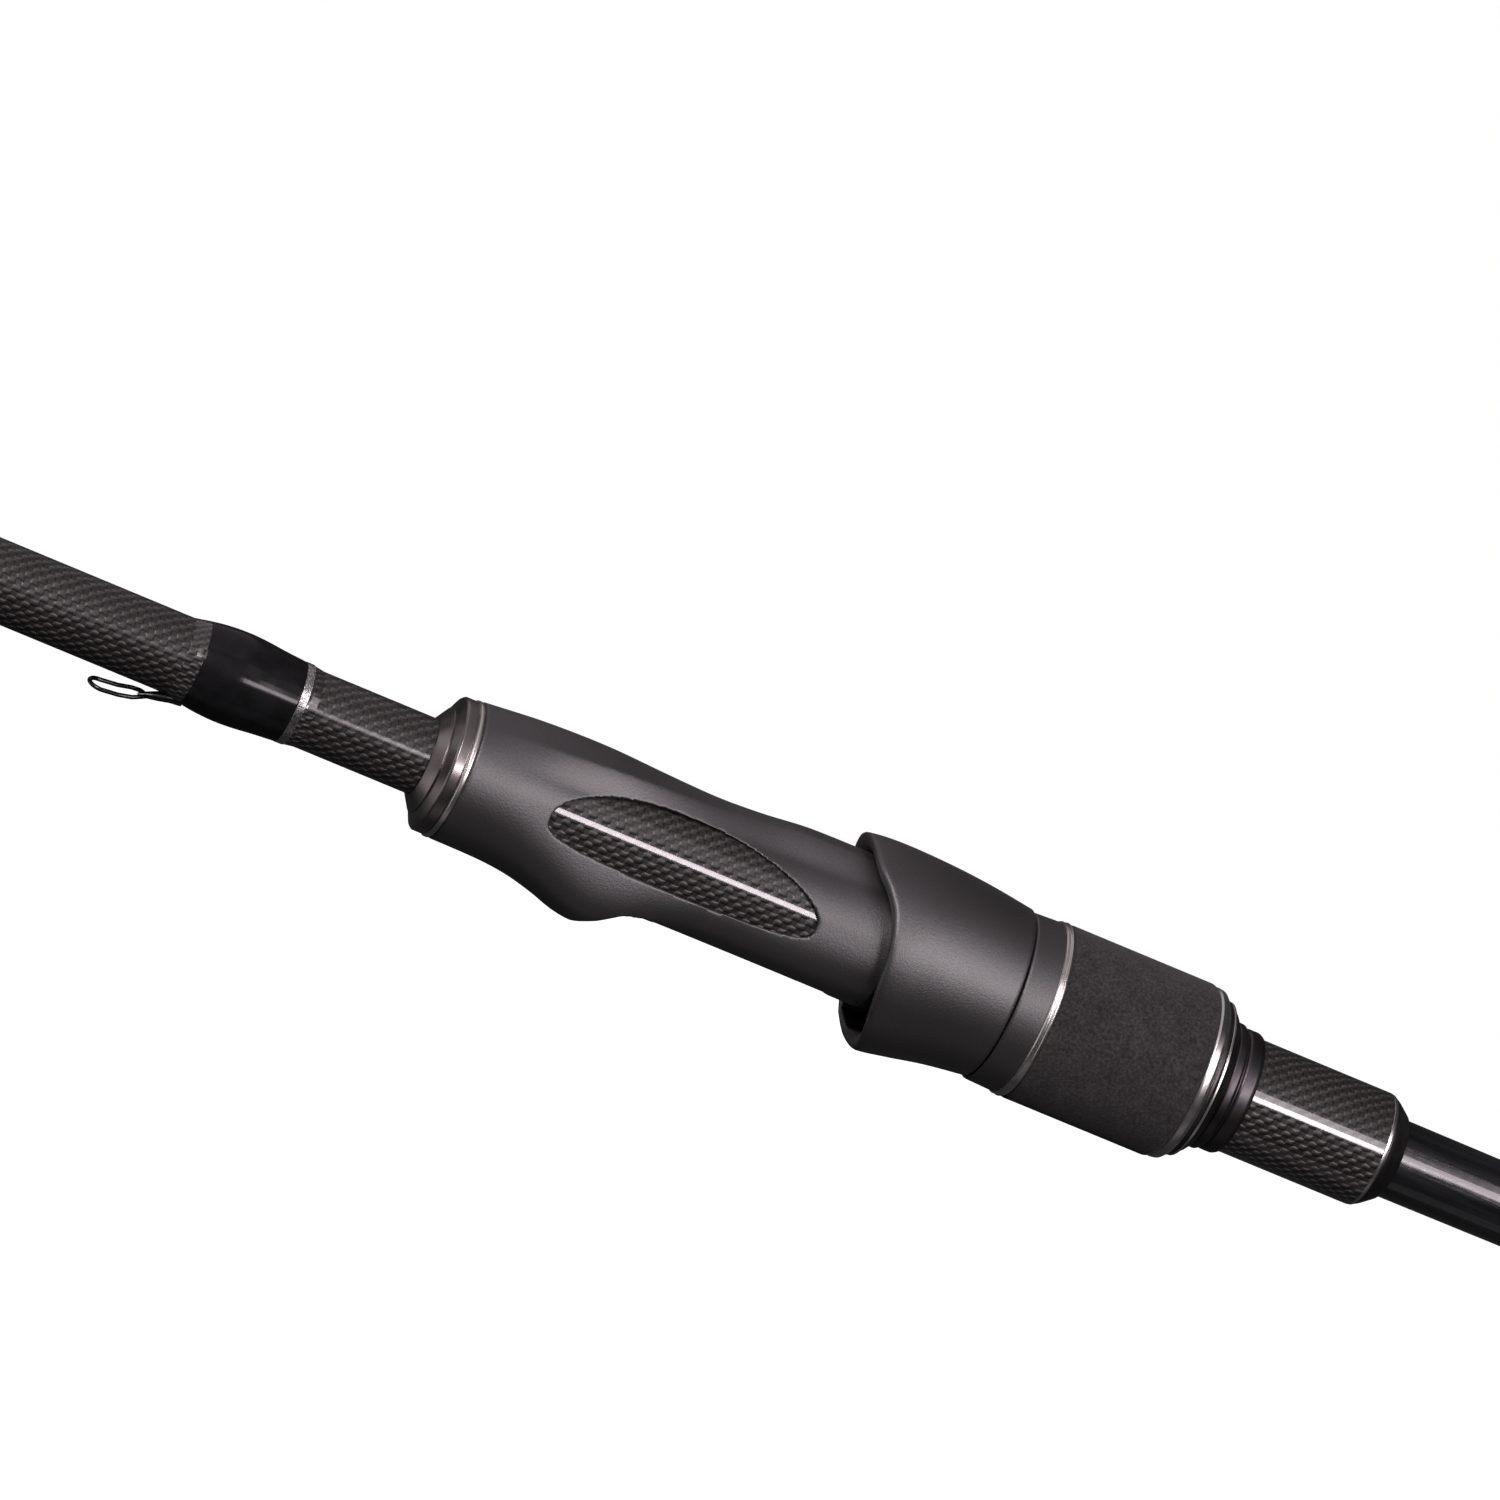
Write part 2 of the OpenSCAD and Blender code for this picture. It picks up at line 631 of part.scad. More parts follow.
module foot(i, f) {
    difference() {
        foot_block(i, f);
        turned([[0, f[0] - 5], [shaft_r(f[0] - 5), f[0] - 5], [shaft_r(f[1] + 5), f[1] + 5],
                [0, f[1] + 5]]);
    }
}

// Places something at ring i, leaning with it: the ring's own axis is Z
module at_ring(x, z, lean) {
    translate([x, 0, z]) rotate([0, 90 - lean, 0]) children();
}

module ring_shape(r) {
    color("#3c4146")
        rotate_extrude($fn = ROUND)
            polygon([[r, -0.45], [r + 0.3, -ring_half], [r + ring_wall, -ring_half],
                     [r + ring_wall, ring_half], [r + 0.3, ring_half], [r, 0.45]]);
}

module hoop_shape(r) {
    rotate_extrude($fn = ROUND)
        polygon([[r, -hoop_half], [r + hoop_wall - 0.2, -hoop_half], [r + hoop_wall, -0.5],
                 [r + hoop_wall, 0.5], [r + hoop_wall - 0.2, hoop_half], [r, hoop_half]]);
}

module guide_ring(i) {
    at_ring(guide_x(i), guide_z(i), ring_lean) ring_shape(ring_radii[i]);
}

// Point just inside the holder's rim: a is 0 at the top and turns to +Y
function hoop_point(i, a) =
    let (r = hoop_r(i) - 0.15)
    [guide_x(i) - r * cos(a) * sin(ring_lean), r * sin(a),
     guide_z(i) + r * cos(a) * cos(ring_lean)];

// Point inside a foot, half way through its thickness
function toe_point(i, x, y) = [x, y, -shaft_r(x) - FOOT_THICK[size_of(i)] / 2];

module guide_frame(i) {
    f = feet(i);
    leg_r = LEG_R[size_of(i)];
    color("#3b3d40") {
        at_ring(guide_x(i), guide_z(i), ring_lean) hoop_shape(ring_radii[i] + ring_wall);
        for (side = [-1, 1])
            bar(hoop_point(i, side * 58), toe_point(i, f[0][0] + 1.2, side * 0.6), leg_r);
        foot(i, f[0]);
        if (i < BUTT_GUIDES) {
            bar(hoop_point(i, 0), toe_point(i, f[1][1] - 1.2, 0), leg_r);
            foot(i, f[1]);
        }
    }
}

// Length of foot f that a wrap covers: it keeps clear of the leg and runs past the toe
function wrapped(i, f) = f[0] > guide_x(i) ? [f[0] + 2.4, f[1] + 3] : [f[0] - 3, f[1] - 2.4];

// Thread wraps over the feet of guides from..to
module guide_wraps(from, to) {
    color("#080808")
        for (i = [from:to], f = feet(i))
            difference() {
                hug(wrapped(i, f)[0], wrapped(i, f)[1], FOOT_THICK[size_of(i)] + wrap_thick);
                foot_block(i, f);
            }
}

tip_ring_r = 2;
tip_ring_x = rod_length - 0.8;
tip_ring_z = -(blank_tip_r + 1.1 + tip_ring_r + ring_wall + hoop_wall);
tip_sleeve_x = rod_length - 16;
module tip_top_ring() {
    at_ring(tip_ring_x - 0.2, tip_ring_z, 0) ring_shape(tip_ring_r);
}

module tip_top_frame() {
    r = tip_ring_r + ring_wall + hoop_wall / 2;
    color("#3b3d40")
        difference() {
            union() {
                tube(tip_sleeve_x, rod_length - 3.2, tip_r(tip_sleeve_x) + 0.45, 0);
                at_ring(tip_ring_x - 0.2, tip_ring_z, 0) hoop_shape(tip_ring_r + ring_wall);
                for (side = [-1, 1])
                    bar([rod_length - 5, side * 0.9, -0.4],
                        [tip_ring_x - 0.5, side * r * sin(70), tip_ring_z + r * cos(70)], 0.42);
                bar([tip_sleeve_x + 4, 0, -1.3], [tip_ring_x - 0.5, 0, tip_ring_z - r], 0.42);
            }
            turned([[0, tip_sleeve_x - 1], [tip_r(tip_sleeve_x - 1), tip_sleeve_x - 1],
                    [blank_tip_r, rod_length - 4], [0, rod_length - 4]]);
            at_ring(tip_ring_x, tip_ring_z, 0)
                cylinder(h = 3, r = tip_ring_r + ring_wall, center = true, $fn = ROUND);
        }
}

module tip_top_wrap() {
    color("#080808")
        turned([[tip_r(tip_sleeve_x - 9), tip_sleeve_x - 9],
                [tip_r(tip_sleeve_x - 8) + 0.35, tip_sleeve_x - 8],
                [tip_r(tip_sleeve_x) + 0.45, tip_sleeve_x], [tip_r(tip_sleeve_x), tip_sleeve_x]]);
}

// ---- nodes ---------------------------------------------------------------

butt_cap();
butt_trim_ring();
butt_grip();
grip_front_ring();
handle_tube();
hook_keeper();
keeper_wrap();
keeper_wrap_band();
winding_check();
winding_check_rim();
rear_arbor();
joint_spigot();
middle_arbor();
front_arbor();
seat_pipe();
seat_body();
threaded_barrel();
moving_hood();
hood_key();
hood_retaining_ring();
hood_collar();
foregrip_nut();
foregrip_rear_ring();
foregrip();
foregrip_front_ring();
nose_cone();
nose_line_ring();
neck_ring_rear();
neck_ring_front();
pipe_end_ring();
blank_taper_cone();
butt_blank();
ferrule_plug();
guide_wraps(0, BUTT_GUIDES - 1);  // butt_guide_wraps
tip_blank();
ferrule_wrap();
ferrule_band();
guide_wraps(BUTT_GUIDES, GUIDES - 1);  // tip_guide_wraps
tip_top_frame();
tip_top_ring();
tip_top_wrap();
for (i = [0:GUIDES - 1]) {
    guide_frame(i);
    guide_ring(i);
}
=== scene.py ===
"""Two-piece spinning rod: the visible pieces, their materials, the lights and the camera.

Lengths are written in millimetres and turned into metres by MM. X runs from the butt
to the tip, Z is up and the reel side is below. Places along the rod come from the
frame's nodes, so a piece stays on its CAD node.
"""
import json
import math

import bmesh
import bpy
from mathutils import Matrix, Vector

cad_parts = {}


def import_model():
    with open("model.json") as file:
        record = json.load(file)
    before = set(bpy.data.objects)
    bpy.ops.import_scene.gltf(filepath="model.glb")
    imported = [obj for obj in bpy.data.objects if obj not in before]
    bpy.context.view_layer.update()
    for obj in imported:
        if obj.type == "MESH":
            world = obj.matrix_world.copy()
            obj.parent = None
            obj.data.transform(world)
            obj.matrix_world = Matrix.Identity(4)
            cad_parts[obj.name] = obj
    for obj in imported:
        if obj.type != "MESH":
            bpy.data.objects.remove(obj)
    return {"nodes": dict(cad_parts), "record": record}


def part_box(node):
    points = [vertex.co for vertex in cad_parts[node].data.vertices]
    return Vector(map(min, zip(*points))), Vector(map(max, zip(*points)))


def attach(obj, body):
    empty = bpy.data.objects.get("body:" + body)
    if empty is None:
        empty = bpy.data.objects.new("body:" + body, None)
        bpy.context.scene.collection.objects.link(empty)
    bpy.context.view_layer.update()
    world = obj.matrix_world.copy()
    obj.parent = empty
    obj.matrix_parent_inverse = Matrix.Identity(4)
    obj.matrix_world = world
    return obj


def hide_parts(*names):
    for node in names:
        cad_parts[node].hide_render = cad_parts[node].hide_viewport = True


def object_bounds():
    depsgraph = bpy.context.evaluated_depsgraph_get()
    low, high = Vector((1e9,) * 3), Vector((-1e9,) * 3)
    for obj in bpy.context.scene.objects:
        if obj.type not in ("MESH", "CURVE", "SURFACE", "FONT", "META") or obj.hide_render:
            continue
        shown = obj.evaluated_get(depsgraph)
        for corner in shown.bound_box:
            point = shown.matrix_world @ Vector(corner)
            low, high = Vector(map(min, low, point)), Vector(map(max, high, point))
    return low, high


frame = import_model()
cad_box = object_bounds()

MM = 0.001
TAU = 2 * math.pi
SIDES = 128            # facets round a turned piece
NODES = frame["nodes"]


def span(node):
    """First and last X of a CAD node, in mm."""
    low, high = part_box(node)
    return low.x / MM, high.x / MM


def radius(node):
    """Largest radius of a turned CAD node, in mm."""
    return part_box(node)[1].y / MM


def scaled(tone, factor):
    """A colour made lighter or darker."""
    return tuple(factor * c for c in tone)


# ---------------------------------------------------------------- node maths

class Graph:
    """Builds shader nodes as if they were arithmetic."""

    def __init__(self, name):
        self.mat = bpy.data.materials.new(name)
        self.mat.use_nodes = True
        self.tree = self.mat.node_tree
        self.bsdf = self.tree.nodes["Principled BSDF"]

    def set(self, **values):
        """Constants on the shader's own sockets."""
        for key, value in values.items():
            socket = self.bsdf.inputs[key.replace("_", " ")]
            socket.default_value = (*value, 1) if isinstance(value, tuple) else value

    def link(self, out, key):
        """Feeds one of the shader's sockets."""
        self.tree.links.new(out, self.bsdf.inputs[key])

    def put(self, socket, value):
        """A number or another node's output into a socket."""
        if isinstance(value, (int, float)):
            socket.default_value = value
        else:
            self.tree.links.new(value, socket)

    def math(self, op, a, b=0.0, c=0.0):
        node = self.tree.nodes.new("ShaderNodeMath")
        node.operation = op
        for socket, value in zip(node.inputs, (a, b, c)):
            self.put(socket, value)
        return node.outputs[0]

    def add(self, a, b):
        return self.math("ADD", a, b)

    def sub(self, a, b):
        return self.math("SUBTRACT", a, b)

    def mul(self, a, b):
        return self.math("MULTIPLY", a, b)

    def sum(self, *terms):
        """Sum of (weight, value) terms."""
        total = self.mul(terms[0][1], terms[0][0])
        for weight, value in terms[1:]:
            total = self.add(total, self.mul(value, weight))
        return total

    def place(self):
        """Object coordinates, which are metres in the rod's own frame."""
        node = self.tree.nodes.new("ShaderNodeTexCoord")
        return node.outputs["Object"]

    def xyz(self, vector):
        node = self.tree.nodes.new("ShaderNodeSeparateXYZ")
        self.tree.links.new(vector, node.inputs[0])
        return tuple(node.outputs)

    def vector(self, x, y, z):
        node = self.tree.nodes.new("ShaderNodeCombineXYZ")
        for socket, value in zip(node.inputs, (x, y, z)):
            self.put(socket, value)
        return node.outputs[0]

    def wrap_place(self):
        """(x, turn): metres along the rod and the fraction of a turn round it."""
        x, y, z = self.xyz(self.place())
        turn = self.add(self.mul(self.math("ARCTAN2", y, self.mul(z, -1)), 1 / TAU), 0.5)
        return x, turn

    def noise(self, vector, scale, detail=3.0, rough=0.5):
        node = self.tree.nodes.new("ShaderNodeTexNoise")
        self.tree.links.new(vector, node.inputs["Vector"])
        node.inputs["Scale"].default_value = scale
        node.inputs["Detail"].default_value = detail
        node.inputs["Roughness"].default_value = rough
        return node.outputs["Fac"]

    def voronoi(self, vector, scale):
        node = self.tree.nodes.new("ShaderNodeTexVoronoi")
        self.tree.links.new(vector, node.inputs["Vector"])
        node.inputs["Scale"].default_value = scale
        return node.outputs["Distance"]

    def ramp(self, value, low, high, out_low=0.0, out_high=1.0):
        node = self.tree.nodes.new("ShaderNodeMapRange")
        node.clamp = True
        self.put(node.inputs["Value"], value)
        for key, number in zip(("From Min", "From Max", "To Min", "To Max"),
                               (low, high, out_low, out_high)):
            node.inputs[key].default_value = number
        return node.outputs["Result"]

    def colours(self, value, *stops):
        """Colour ramp from (place, (r, g, b)) stops."""
        node = self.tree.nodes.new("ShaderNodeValToRGB")
        self.put(node.inputs["Fac"], value)
        marks = node.color_ramp.elements
        while len(marks) < len(stops):
            marks.new(0.5)
        for mark, (place, colour) in zip(marks, stops):
            mark.position = place
            mark.color = (*colour, 1)
        return node.outputs["Color"]

    def bump(self, height, distance, strength=1.0):
        node = self.tree.nodes.new("ShaderNodeBump")
        node.inputs["Strength"].default_value = strength
        node.inputs["Distance"].default_value = distance
        self.tree.links.new(height, node.inputs["Height"])
        return node.outputs[0]


# ---------------------------------------------------------------- materials

TOW_STEP, TOW_WIDTH = 2.2, 0.9     # mm along the rod from hump to hump, and across a tow
TOW_ON_TOP = 0.6                   # share of a step that a tow lies on top
TAPE_PITCH = 2.1                   # mm from one turn of the blank's tape to the next
THREAD_PITCH, SILVER_PITCH = 0.16, 0.22    # mm from one winding to the next


def weave_height(g, u, v):
    """Rounded humps where the tows along the rod lie on top; u in steps, v in tow widths."""
    row, in_row = g.math("FLOOR", v), g.math("FRACT", v)
    pair = g.math("FRACT", g.add(u, g.mul(row, 0.5)))
    along = g.math("MINIMUM", g.mul(pair, 1 / TOW_ON_TOP), 1.0)
    hump = g.mul(g.math("SINE", g.mul(along, math.pi)), g.math("SINE", g.mul(in_row, math.pi)))
    return g.math("POWER", g.math("MAXIMUM", hump, 0.0), 0.4)


def woven_carbon(name, r, coat_rough, tone, relief, gloss):
    """Plain-woven carbon round a tube of radius r mm, under clear lacquer, with painted light and
    shade on the humps' slopes.

    gloss: (x where it starts, x where it ends, lacquer before it, lacquer after it).
    """
    g = Graph(name)
    x, turn = g.wrap_place()
    u = g.mul(x, 1 / (TOW_STEP * MM))
    v = g.mul(turn, 2 * round(TAU * r / (2 * TOW_WIDTH)))
    wobble = g.sub(g.noise(g.vector(g.mul(u, 2.0), v, 0.0), 0.35, 2.0), 0.5)
    u = g.add(u, g.mul(wobble, 0.22))
    v = g.add(v, g.add(g.mul(wobble, 0.5), g.mul(g.math("SINE", g.mul(u, TAU)), 0.1)))
    height = weave_height(g, u, v)
    # Painted light and shade: each hump's slope, read in one fixed direction, brightens or darkens
    # the colour as if lit from above.
    du, dv = 0.055, 0.15     # half the distance over which a hump's slope is read
    painted_emboss_light = g.sub(weave_height(g, g.add(u, du), g.add(v, dv)),
                weave_height(g, g.sub(u, du), g.sub(v, dv)))
    fibres = g.noise(g.vector(g.mul(u, 1.5), g.mul(v, 9.0), 0.0), 3.0, 2.0)
    patch = g.noise(g.vector(g.mul(u, 2.0), v, 3.0), 0.2, 2.0)
    # The colour mixes the painted light and shade from the humps' slopes with the weave's own
    # tone, fibres and patches.
    weave_tone_and_painted_light = g.sum((0.6, painted_emboss_light), (0.12, height), (0.34, fibres), (0.3, patch))
    g.link(g.colours(weave_tone_and_painted_light, (0.16, scaled(tone, 0.04)), (0.45, scaled(tone, 0.24)),
                     (0.85, tone)), "Base Color")
    g.link(g.ramp(weave_tone_and_painted_light, 0.2, 0.9, 0.6, 0.4), "Roughness")
    g.link(g.bump(height, relief * MM), "Normal")
    g.link(g.ramp(x, *gloss), "Coat Weight")
    g.set(Metallic=0.2, Coat_Roughness=coat_rough, Coat_IOR=1.6)
    return g.mat


def soft_plastic(name, tone):
    """Moulded plastic with a soft-touch coat: fine grain and a wide, weak sheen."""
    g = Graph(name)
    place = g.place()
    grain = g.noise(place, 3000.0, 3.0, 0.65)
    cloud = g.noise(place, 55.0, 3.0)
    g.link(g.colours(cloud, (0.3, scaled(tone, 0.86)), (0.7, tone)), "Base Color")
    g.link(g.ramp(cloud, 0.25, 0.75, 0.43, 0.5), "Roughness")
    g.link(g.bump(grain, 0.05 * MM, 0.8), "Normal")
    g.set(IOR=1.8, Specular_IOR_Level=0.68, Sheen_Weight=0.02, Sheen_Roughness=0.4,
          Sheen_Tint=(0.95, 0.85, 0.95))
    return g.mat


def plain_plastic(name, tone, rough):
    """Moulded plastic of hidden pieces, with flow marks."""
    g = Graph(name)
    cloud = g.noise(g.place(), 180.0, 4.0)
    g.link(g.colours(cloud, (0.3, scaled(tone, 0.8)), (0.7, tone)), "Base Color")
    g.link(g.ramp(cloud, 0.2, 0.8, rough - 0.06, rough + 0.06), "Roughness")
    g.link(g.bump(cloud, 0.03 * MM, 0.4), "Normal")
    return g.mat


def foam(name, tone):
    """Sanded closed-cell foam: pores, crumbs and a dry surface."""
    g = Graph(name)
    place = g.place()
    cells = g.voronoi(place, 2200.0)
    crumbs = g.noise(place, 2300.0, 4.0, 0.7)
    patches = g.noise(place, 320.0, 3.0)
    mix = g.sum((0.8, crumbs), (0.2, patches))
    g.link(g.colours(mix, (0.36, scaled(tone, 0.35)), (0.5, tone), (0.64, scaled(tone, 1.9))),
           "Base Color")
    height = g.sum((0.5, cells), (1.0, crumbs), (0.6, patches))
    g.link(g.bump(height, 0.09 * MM, 0.8), "Normal")
    g.set(Roughness=0.92, Specular_IOR_Level=0.25, Sheen_Weight=0.05, Sheen_Roughness=0.6)
    return g.mat


def turned_metal(name, tone, rough, lines=0.4):
    """Metal polished on a lathe: fine rings and a little smudging."""
    g = Graph(name)
    x, turn = g.wrap_place()
    rings = g.noise(g.vector(g.mul(x, 9000.0), g.mul(turn, 1.5), 0.0), 1.0, 3.0, 0.6)
    smudge = g.noise(g.place(), 260.0, 3.0)
    g.link(g.colours(smudge, (0.25, scaled(tone, 0.8)), (0.75, tone)), "Base Color")
    g.link(g.ramp(g.sum((0.5, rings), (0.5, smudge)), 0.3, 0.7, rough * 0.7, rough * 1.3),
           "Roughness")
    g.link(g.bump(rings, 0.006 * MM, lines), "Normal")
    g.set(Metallic=1.0)
    return g.mat


def lacquered_blank(name):
    """Black lacquer over the blank's tape: long shallow streaks break the reflections."""
    g = Graph(name)
    x, turn = g.wrap_place()
    long_streaks = g.noise(g.vector(g.mul(x, 55.0), g.mul(turn, 34.0), 0.0), 1.0, 4.0, 0.6)
    bands = g.math("SINE", g.mul(x, TAU / (TAPE_PITCH * MM)))
    g.link(g.colours(long_streaks, (0.35, (0.004, 0.004, 0.0045)),
                     (0.75, (0.014, 0.014, 0.016))), "Base Color")
    g.link(g.ramp(long_streaks, 0.3, 0.7, 0.16, 0.34), "Roughness")
    g.link(g.bump(g.sum((1.0, long_streaks), (0.05, bands)), 0.10 * MM, 0.6), "Normal")
    g.set(Coat_Weight=1.0, Coat_Roughness=0.06, Coat_IOR=1.5)
    return g.mat


def thread_epoxy(name):
    """Black thread wound round the blank, under thick clear epoxy."""
    g = Graph(name)
    x, turn = g.wrap_place()
    pitch = THREAD_PITCH * MM
    windings = g.math("SINE", g.mul(g.add(x, g.mul(turn, pitch)), TAU / pitch))
    cloud = g.noise(g.place(), 400.0, 2.0)
    g.link(g.colours(cloud, (0.3, (0.003, 0.003, 0.003)), (0.7, (0.007, 0.007, 0.008))),
           "Base Color")
    g.link(g.bump(windings, 0.02 * MM, 0.5), "Normal")
    g.set(Roughness=0.6, Coat_Weight=0.3, Coat_Roughness=0.13, Coat_IOR=1.5,
          Specular_IOR_Level=0.08)
    return g.mat


def metallic_thread(name):
    """Silver thread band: bright windings with a broken glint."""
    g = Graph(name)
    x, turn = g.wrap_place()
    windings = g.math("SINE", g.mul(x, TAU / (SILVER_PITCH * MM)))
    glint = g.noise(g.vector(g.mul(x, 4200.0), g.mul(turn, 70.0), 0.0), 1.0, 3.0, 0.7)
    g.link(g.colours(glint, (0.35, (0.16, 0.155, 0.15)), (0.62, (0.85, 0.83, 0.82))),
           "Base Color")
    g.link(g.bump(g.sum((1.0, windings), (2.0, glint)), 0.03 * MM, 0.8), "Normal")
    g.set(Metallic=1.0, Roughness=0.3, Coat_Weight=0.6, Coat_Roughness=0.05)
    return g.mat


def rubber(name, tone):
    """Moulded rubber with a fine matte skin."""
    g = Graph(name)
    grain = g.noise(g.place(), 2400.0, 4.0, 0.6)
    dust = g.noise(g.place(), 90.0, 3.0)
    g.link(g.colours(dust, (0.35, tone), (0.8, scaled(tone, 1.7))), "Base Color")
    g.link(g.bump(grain, 0.05 * MM, 0.5), "Normal")
    g.set(Roughness=0.75, Specular_IOR_Level=0.35)
    return g.mat


def ceramic(name):
    """Polished dark ceramic with a faint mottle."""
    g = Graph(name)
    mottle = g.noise(g.place(), 700.0, 3.0)
    g.link(g.colours(mottle, (0.3, (0.03, 0.034, 0.038)), (0.7, (0.065, 0.07, 0.078))),
           "Base Color")
    g.link(g.ramp(mottle, 0.3, 0.7, 0.06, 0.14), "Roughness")
    g.set(Coat_Weight=0.4, Coat_Roughness=0.03)
    return g.mat


def stage_floor(name):
    """Pale floor that stays as bright as the backdrop."""
    g = Graph(name)
    g.set(Base_Color=(0.85, 0.85, 0.85), Roughness=0.9, Emission_Color=(1.0, 1.0, 1.0),
          Emission_Strength=1.0)
    return g.mat


TUBE_R, PIPE_R = 5.95, 8.93        # mm, handle tube and seat pipe

MATERIALS = {name: make(name, *options) for name, make, *options in (
    ("woven_carbon_satin", woven_carbon, TUBE_R, 0.16, (0.075, 0.0675, 0.0625), 0.16,
     (0.2, 0.215, 0.22, 0.5)),
    ("woven_carbon_gloss", woven_carbon, PIPE_R, 0.08, (0.09, 0.081, 0.075), 0.18,
     (0.3, 0.34, 0.75, 1.0)),
    ("seat_plastic", soft_plastic, (0.0105, 0.0095, 0.0105)),
    ("inner_plastic", plain_plastic, (0.02, 0.02, 0.021), 0.42),
    ("arbor_foam", plain_plastic, (0.16, 0.14, 0.11), 0.8),
    ("plain_carbon", plain_plastic, (0.015, 0.015, 0.015), 0.5),
    ("eva_foam", foam, (0.025, 0.0237, 0.0229)),
    ("cap_rubber", rubber, (0.016, 0.016, 0.016)),
    ("bright_trim", turned_metal, (0.82, 0.8, 0.77), 0.3),
    ("dark_chrome", turned_metal, (0.3, 0.275, 0.265), 0.3),
    ("black_ring", turned_metal, (0.09, 0.084, 0.088), 0.42, 1.0),
    ("spring_steel", turned_metal, (0.45, 0.45, 0.45), 0.35),
    ("guide_steel", turned_metal, (0.06, 0.062, 0.066), 0.24, 0.03),
    ("blank_gloss", lacquered_blank),
    ("wrap_epoxy", thread_epoxy),
    ("thread_silver", metallic_thread),
    ("ring_ceramic", ceramic),
)}
SLOT_OF_NODE = {s["node"]: s["material_slot"] for s in frame["record"]["subparts"]}
BODY_OF_NODE = {n: b for b, ns in frame["record"]["behaviour"]["bodies"].items() for n in ns}

for node_name, node_object in NODES.items():
    node_object.data.materials.clear()
    node_object.data.materials.append(MATERIALS[SLOT_OF_NODE[node_name]])


# ---------------------------------------------------------------- mesh helpers

def make_mesh(name, points, faces, material):
    """An object from points in mm."""
    mesh = bpy.data.meshes.new(name)
    mesh.from_pydata([Vector(p) * MM for p in points], [], faces)
    mesh.materials.append(material)
    mesh.update()
    piece = bpy.data.objects.new(name, mesh)
    bpy.context.scene.collection.objects.link(piece)
    return piece


def smooth_look(piece, degrees=40.0):
    """Smooth shading that keeps sharp edges, with flat faces staying flat."""
    for polygon in piece.data.polygons:
        polygon.use_smooth = True
    piece.data.set_sharp_from_angle(angle=math.radians(degrees))
    piece.modifiers.new("even normals", "WEIGHTED_NORMAL").keep_sharp = True


def stand_for(piece, *nodes, slot=None):
    """The piece rides with its CAD nodes' body and hides them."""
    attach(piece, BODY_OF_NODE[nodes[0]])
    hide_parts(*nodes)
    return piece


def skin(rows, count, closed=False):
    """Faces between rows of points that each run round; closed joins the last to the first."""
    return [(i * count + k, (i + 1) % rows * count + k,
             (i + 1) % rows * count + (k + 1) % count, i * count + (k + 1) % count)
            for i in range(rows if closed else rows - 1) for k in range(count)]


def bend_points(start, corner, end, steps):
    """Points of the arc that rounds a corner."""
    start, corner, end = Vector(start), Vector(corner), Vector(end)
    return [start * (1 - t) ** 2 + corner * 2 * t * (1 - t) + end * t * t
            for t in (k / steps for k in range(steps + 1))]


def soften(outline, size, steps=4):
    """A closed [x, r] outline with every corner rounded over the given size, in mm."""
    result = []
    count = len(outline)
    for i, corner in enumerate(outline):
        corner = Vector(corner)
        before = Vector(outline[i - 1]) - corner
        after = Vector(outline[(i + 1) % count]) - corner
        reach_a = min(size, before.length * 0.45)
        reach_b = min(size, after.length * 0.45)
        start = corner + before.normalized() * reach_a
        end = corner + after.normalized() * reach_b
        result += bend_points(start, corner, end, steps)
    return result


def lathe(name, outline, material, corner=0.12, sides=SIDES, subdivide=0.0):
    """A closed ring about X from an [x, r] outline in mm; corners are rounded."""
    ring = soften(outline, corner)
    if subdivide:
        ring = split_long(ring, subdivide)
    points = [(x, r * math.sin(a), r * math.cos(a))
              for a in (TAU * k / sides for k in range(sides)) for x, r in ring]
    piece = make_mesh(name, points, skin(sides, len(ring), closed=True), material)
    smooth_look(piece)
    return piece


def split_long(ring, longest):
    """Extra points along the stretches that are longer than the given length."""
    result = []
    for i, here in enumerate(ring):
        there = ring[(i + 1) % len(ring)]
        parts = max(1, math.ceil((there - here).length / longest))
        result += [here.lerp(there, k / parts) for k in range(parts)]
    return result


def turned_piece(node, outline, corner=0.12, material=None, **options):
    """A lathe piece that stands for one CAD node."""
    material = material or MATERIALS[SLOT_OF_NODE[node]]
    return stand_for(lathe(node + "_look", outline, material, corner, **options), node)


def tube_mesh(name, path, radii, material, sides=20):
    """A round wire along a path of points, with its own radius at each, in mm."""
    path = [Vector(p) for p in path]
    points, faces = [], []
    frame_up = None
    for i, here in enumerate(path):
        tangent = (path[min(i + 1, len(path) - 1)] - path[max(i - 1, 0)]).normalized()
        if frame_up is None:
            frame_up = tangent.orthogonal()
        frame_up = (frame_up - tangent * frame_up.dot(tangent)).normalized()
        side = tangent.cross(frame_up)
        for k in range(sides):
            a = TAU * k / sides
            points.append(here + (frame_up * math.cos(a) + side * math.sin(a)) * radii[i])
    for i in range(len(path) - 1):
        for k in range(sides):
            a, b = i * sides + k, i * sides + (k + 1) % sides
            faces.append((a, b, b + sides, a + sides))
    faces.append(tuple(reversed(range(sides))))
    faces.append(tuple(range((len(path) - 1) * sides, len(path) * sides)))
    piece = make_mesh(name, points, faces, material)
    smooth_look(piece)
    return piece


def joined(name, pieces):
    """One object from several, with their modifiers applied."""
    for piece in pieces:
        piece.modifiers.clear()
    with bpy.context.temp_override(active_object=pieces[0], selected_editable_objects=pieces,
                                   selected_objects=pieces, object=pieces[0]):
        bpy.ops.object.join()
    pieces[0].name = name
    smooth_look(pieces[0])
    return pieces[0]


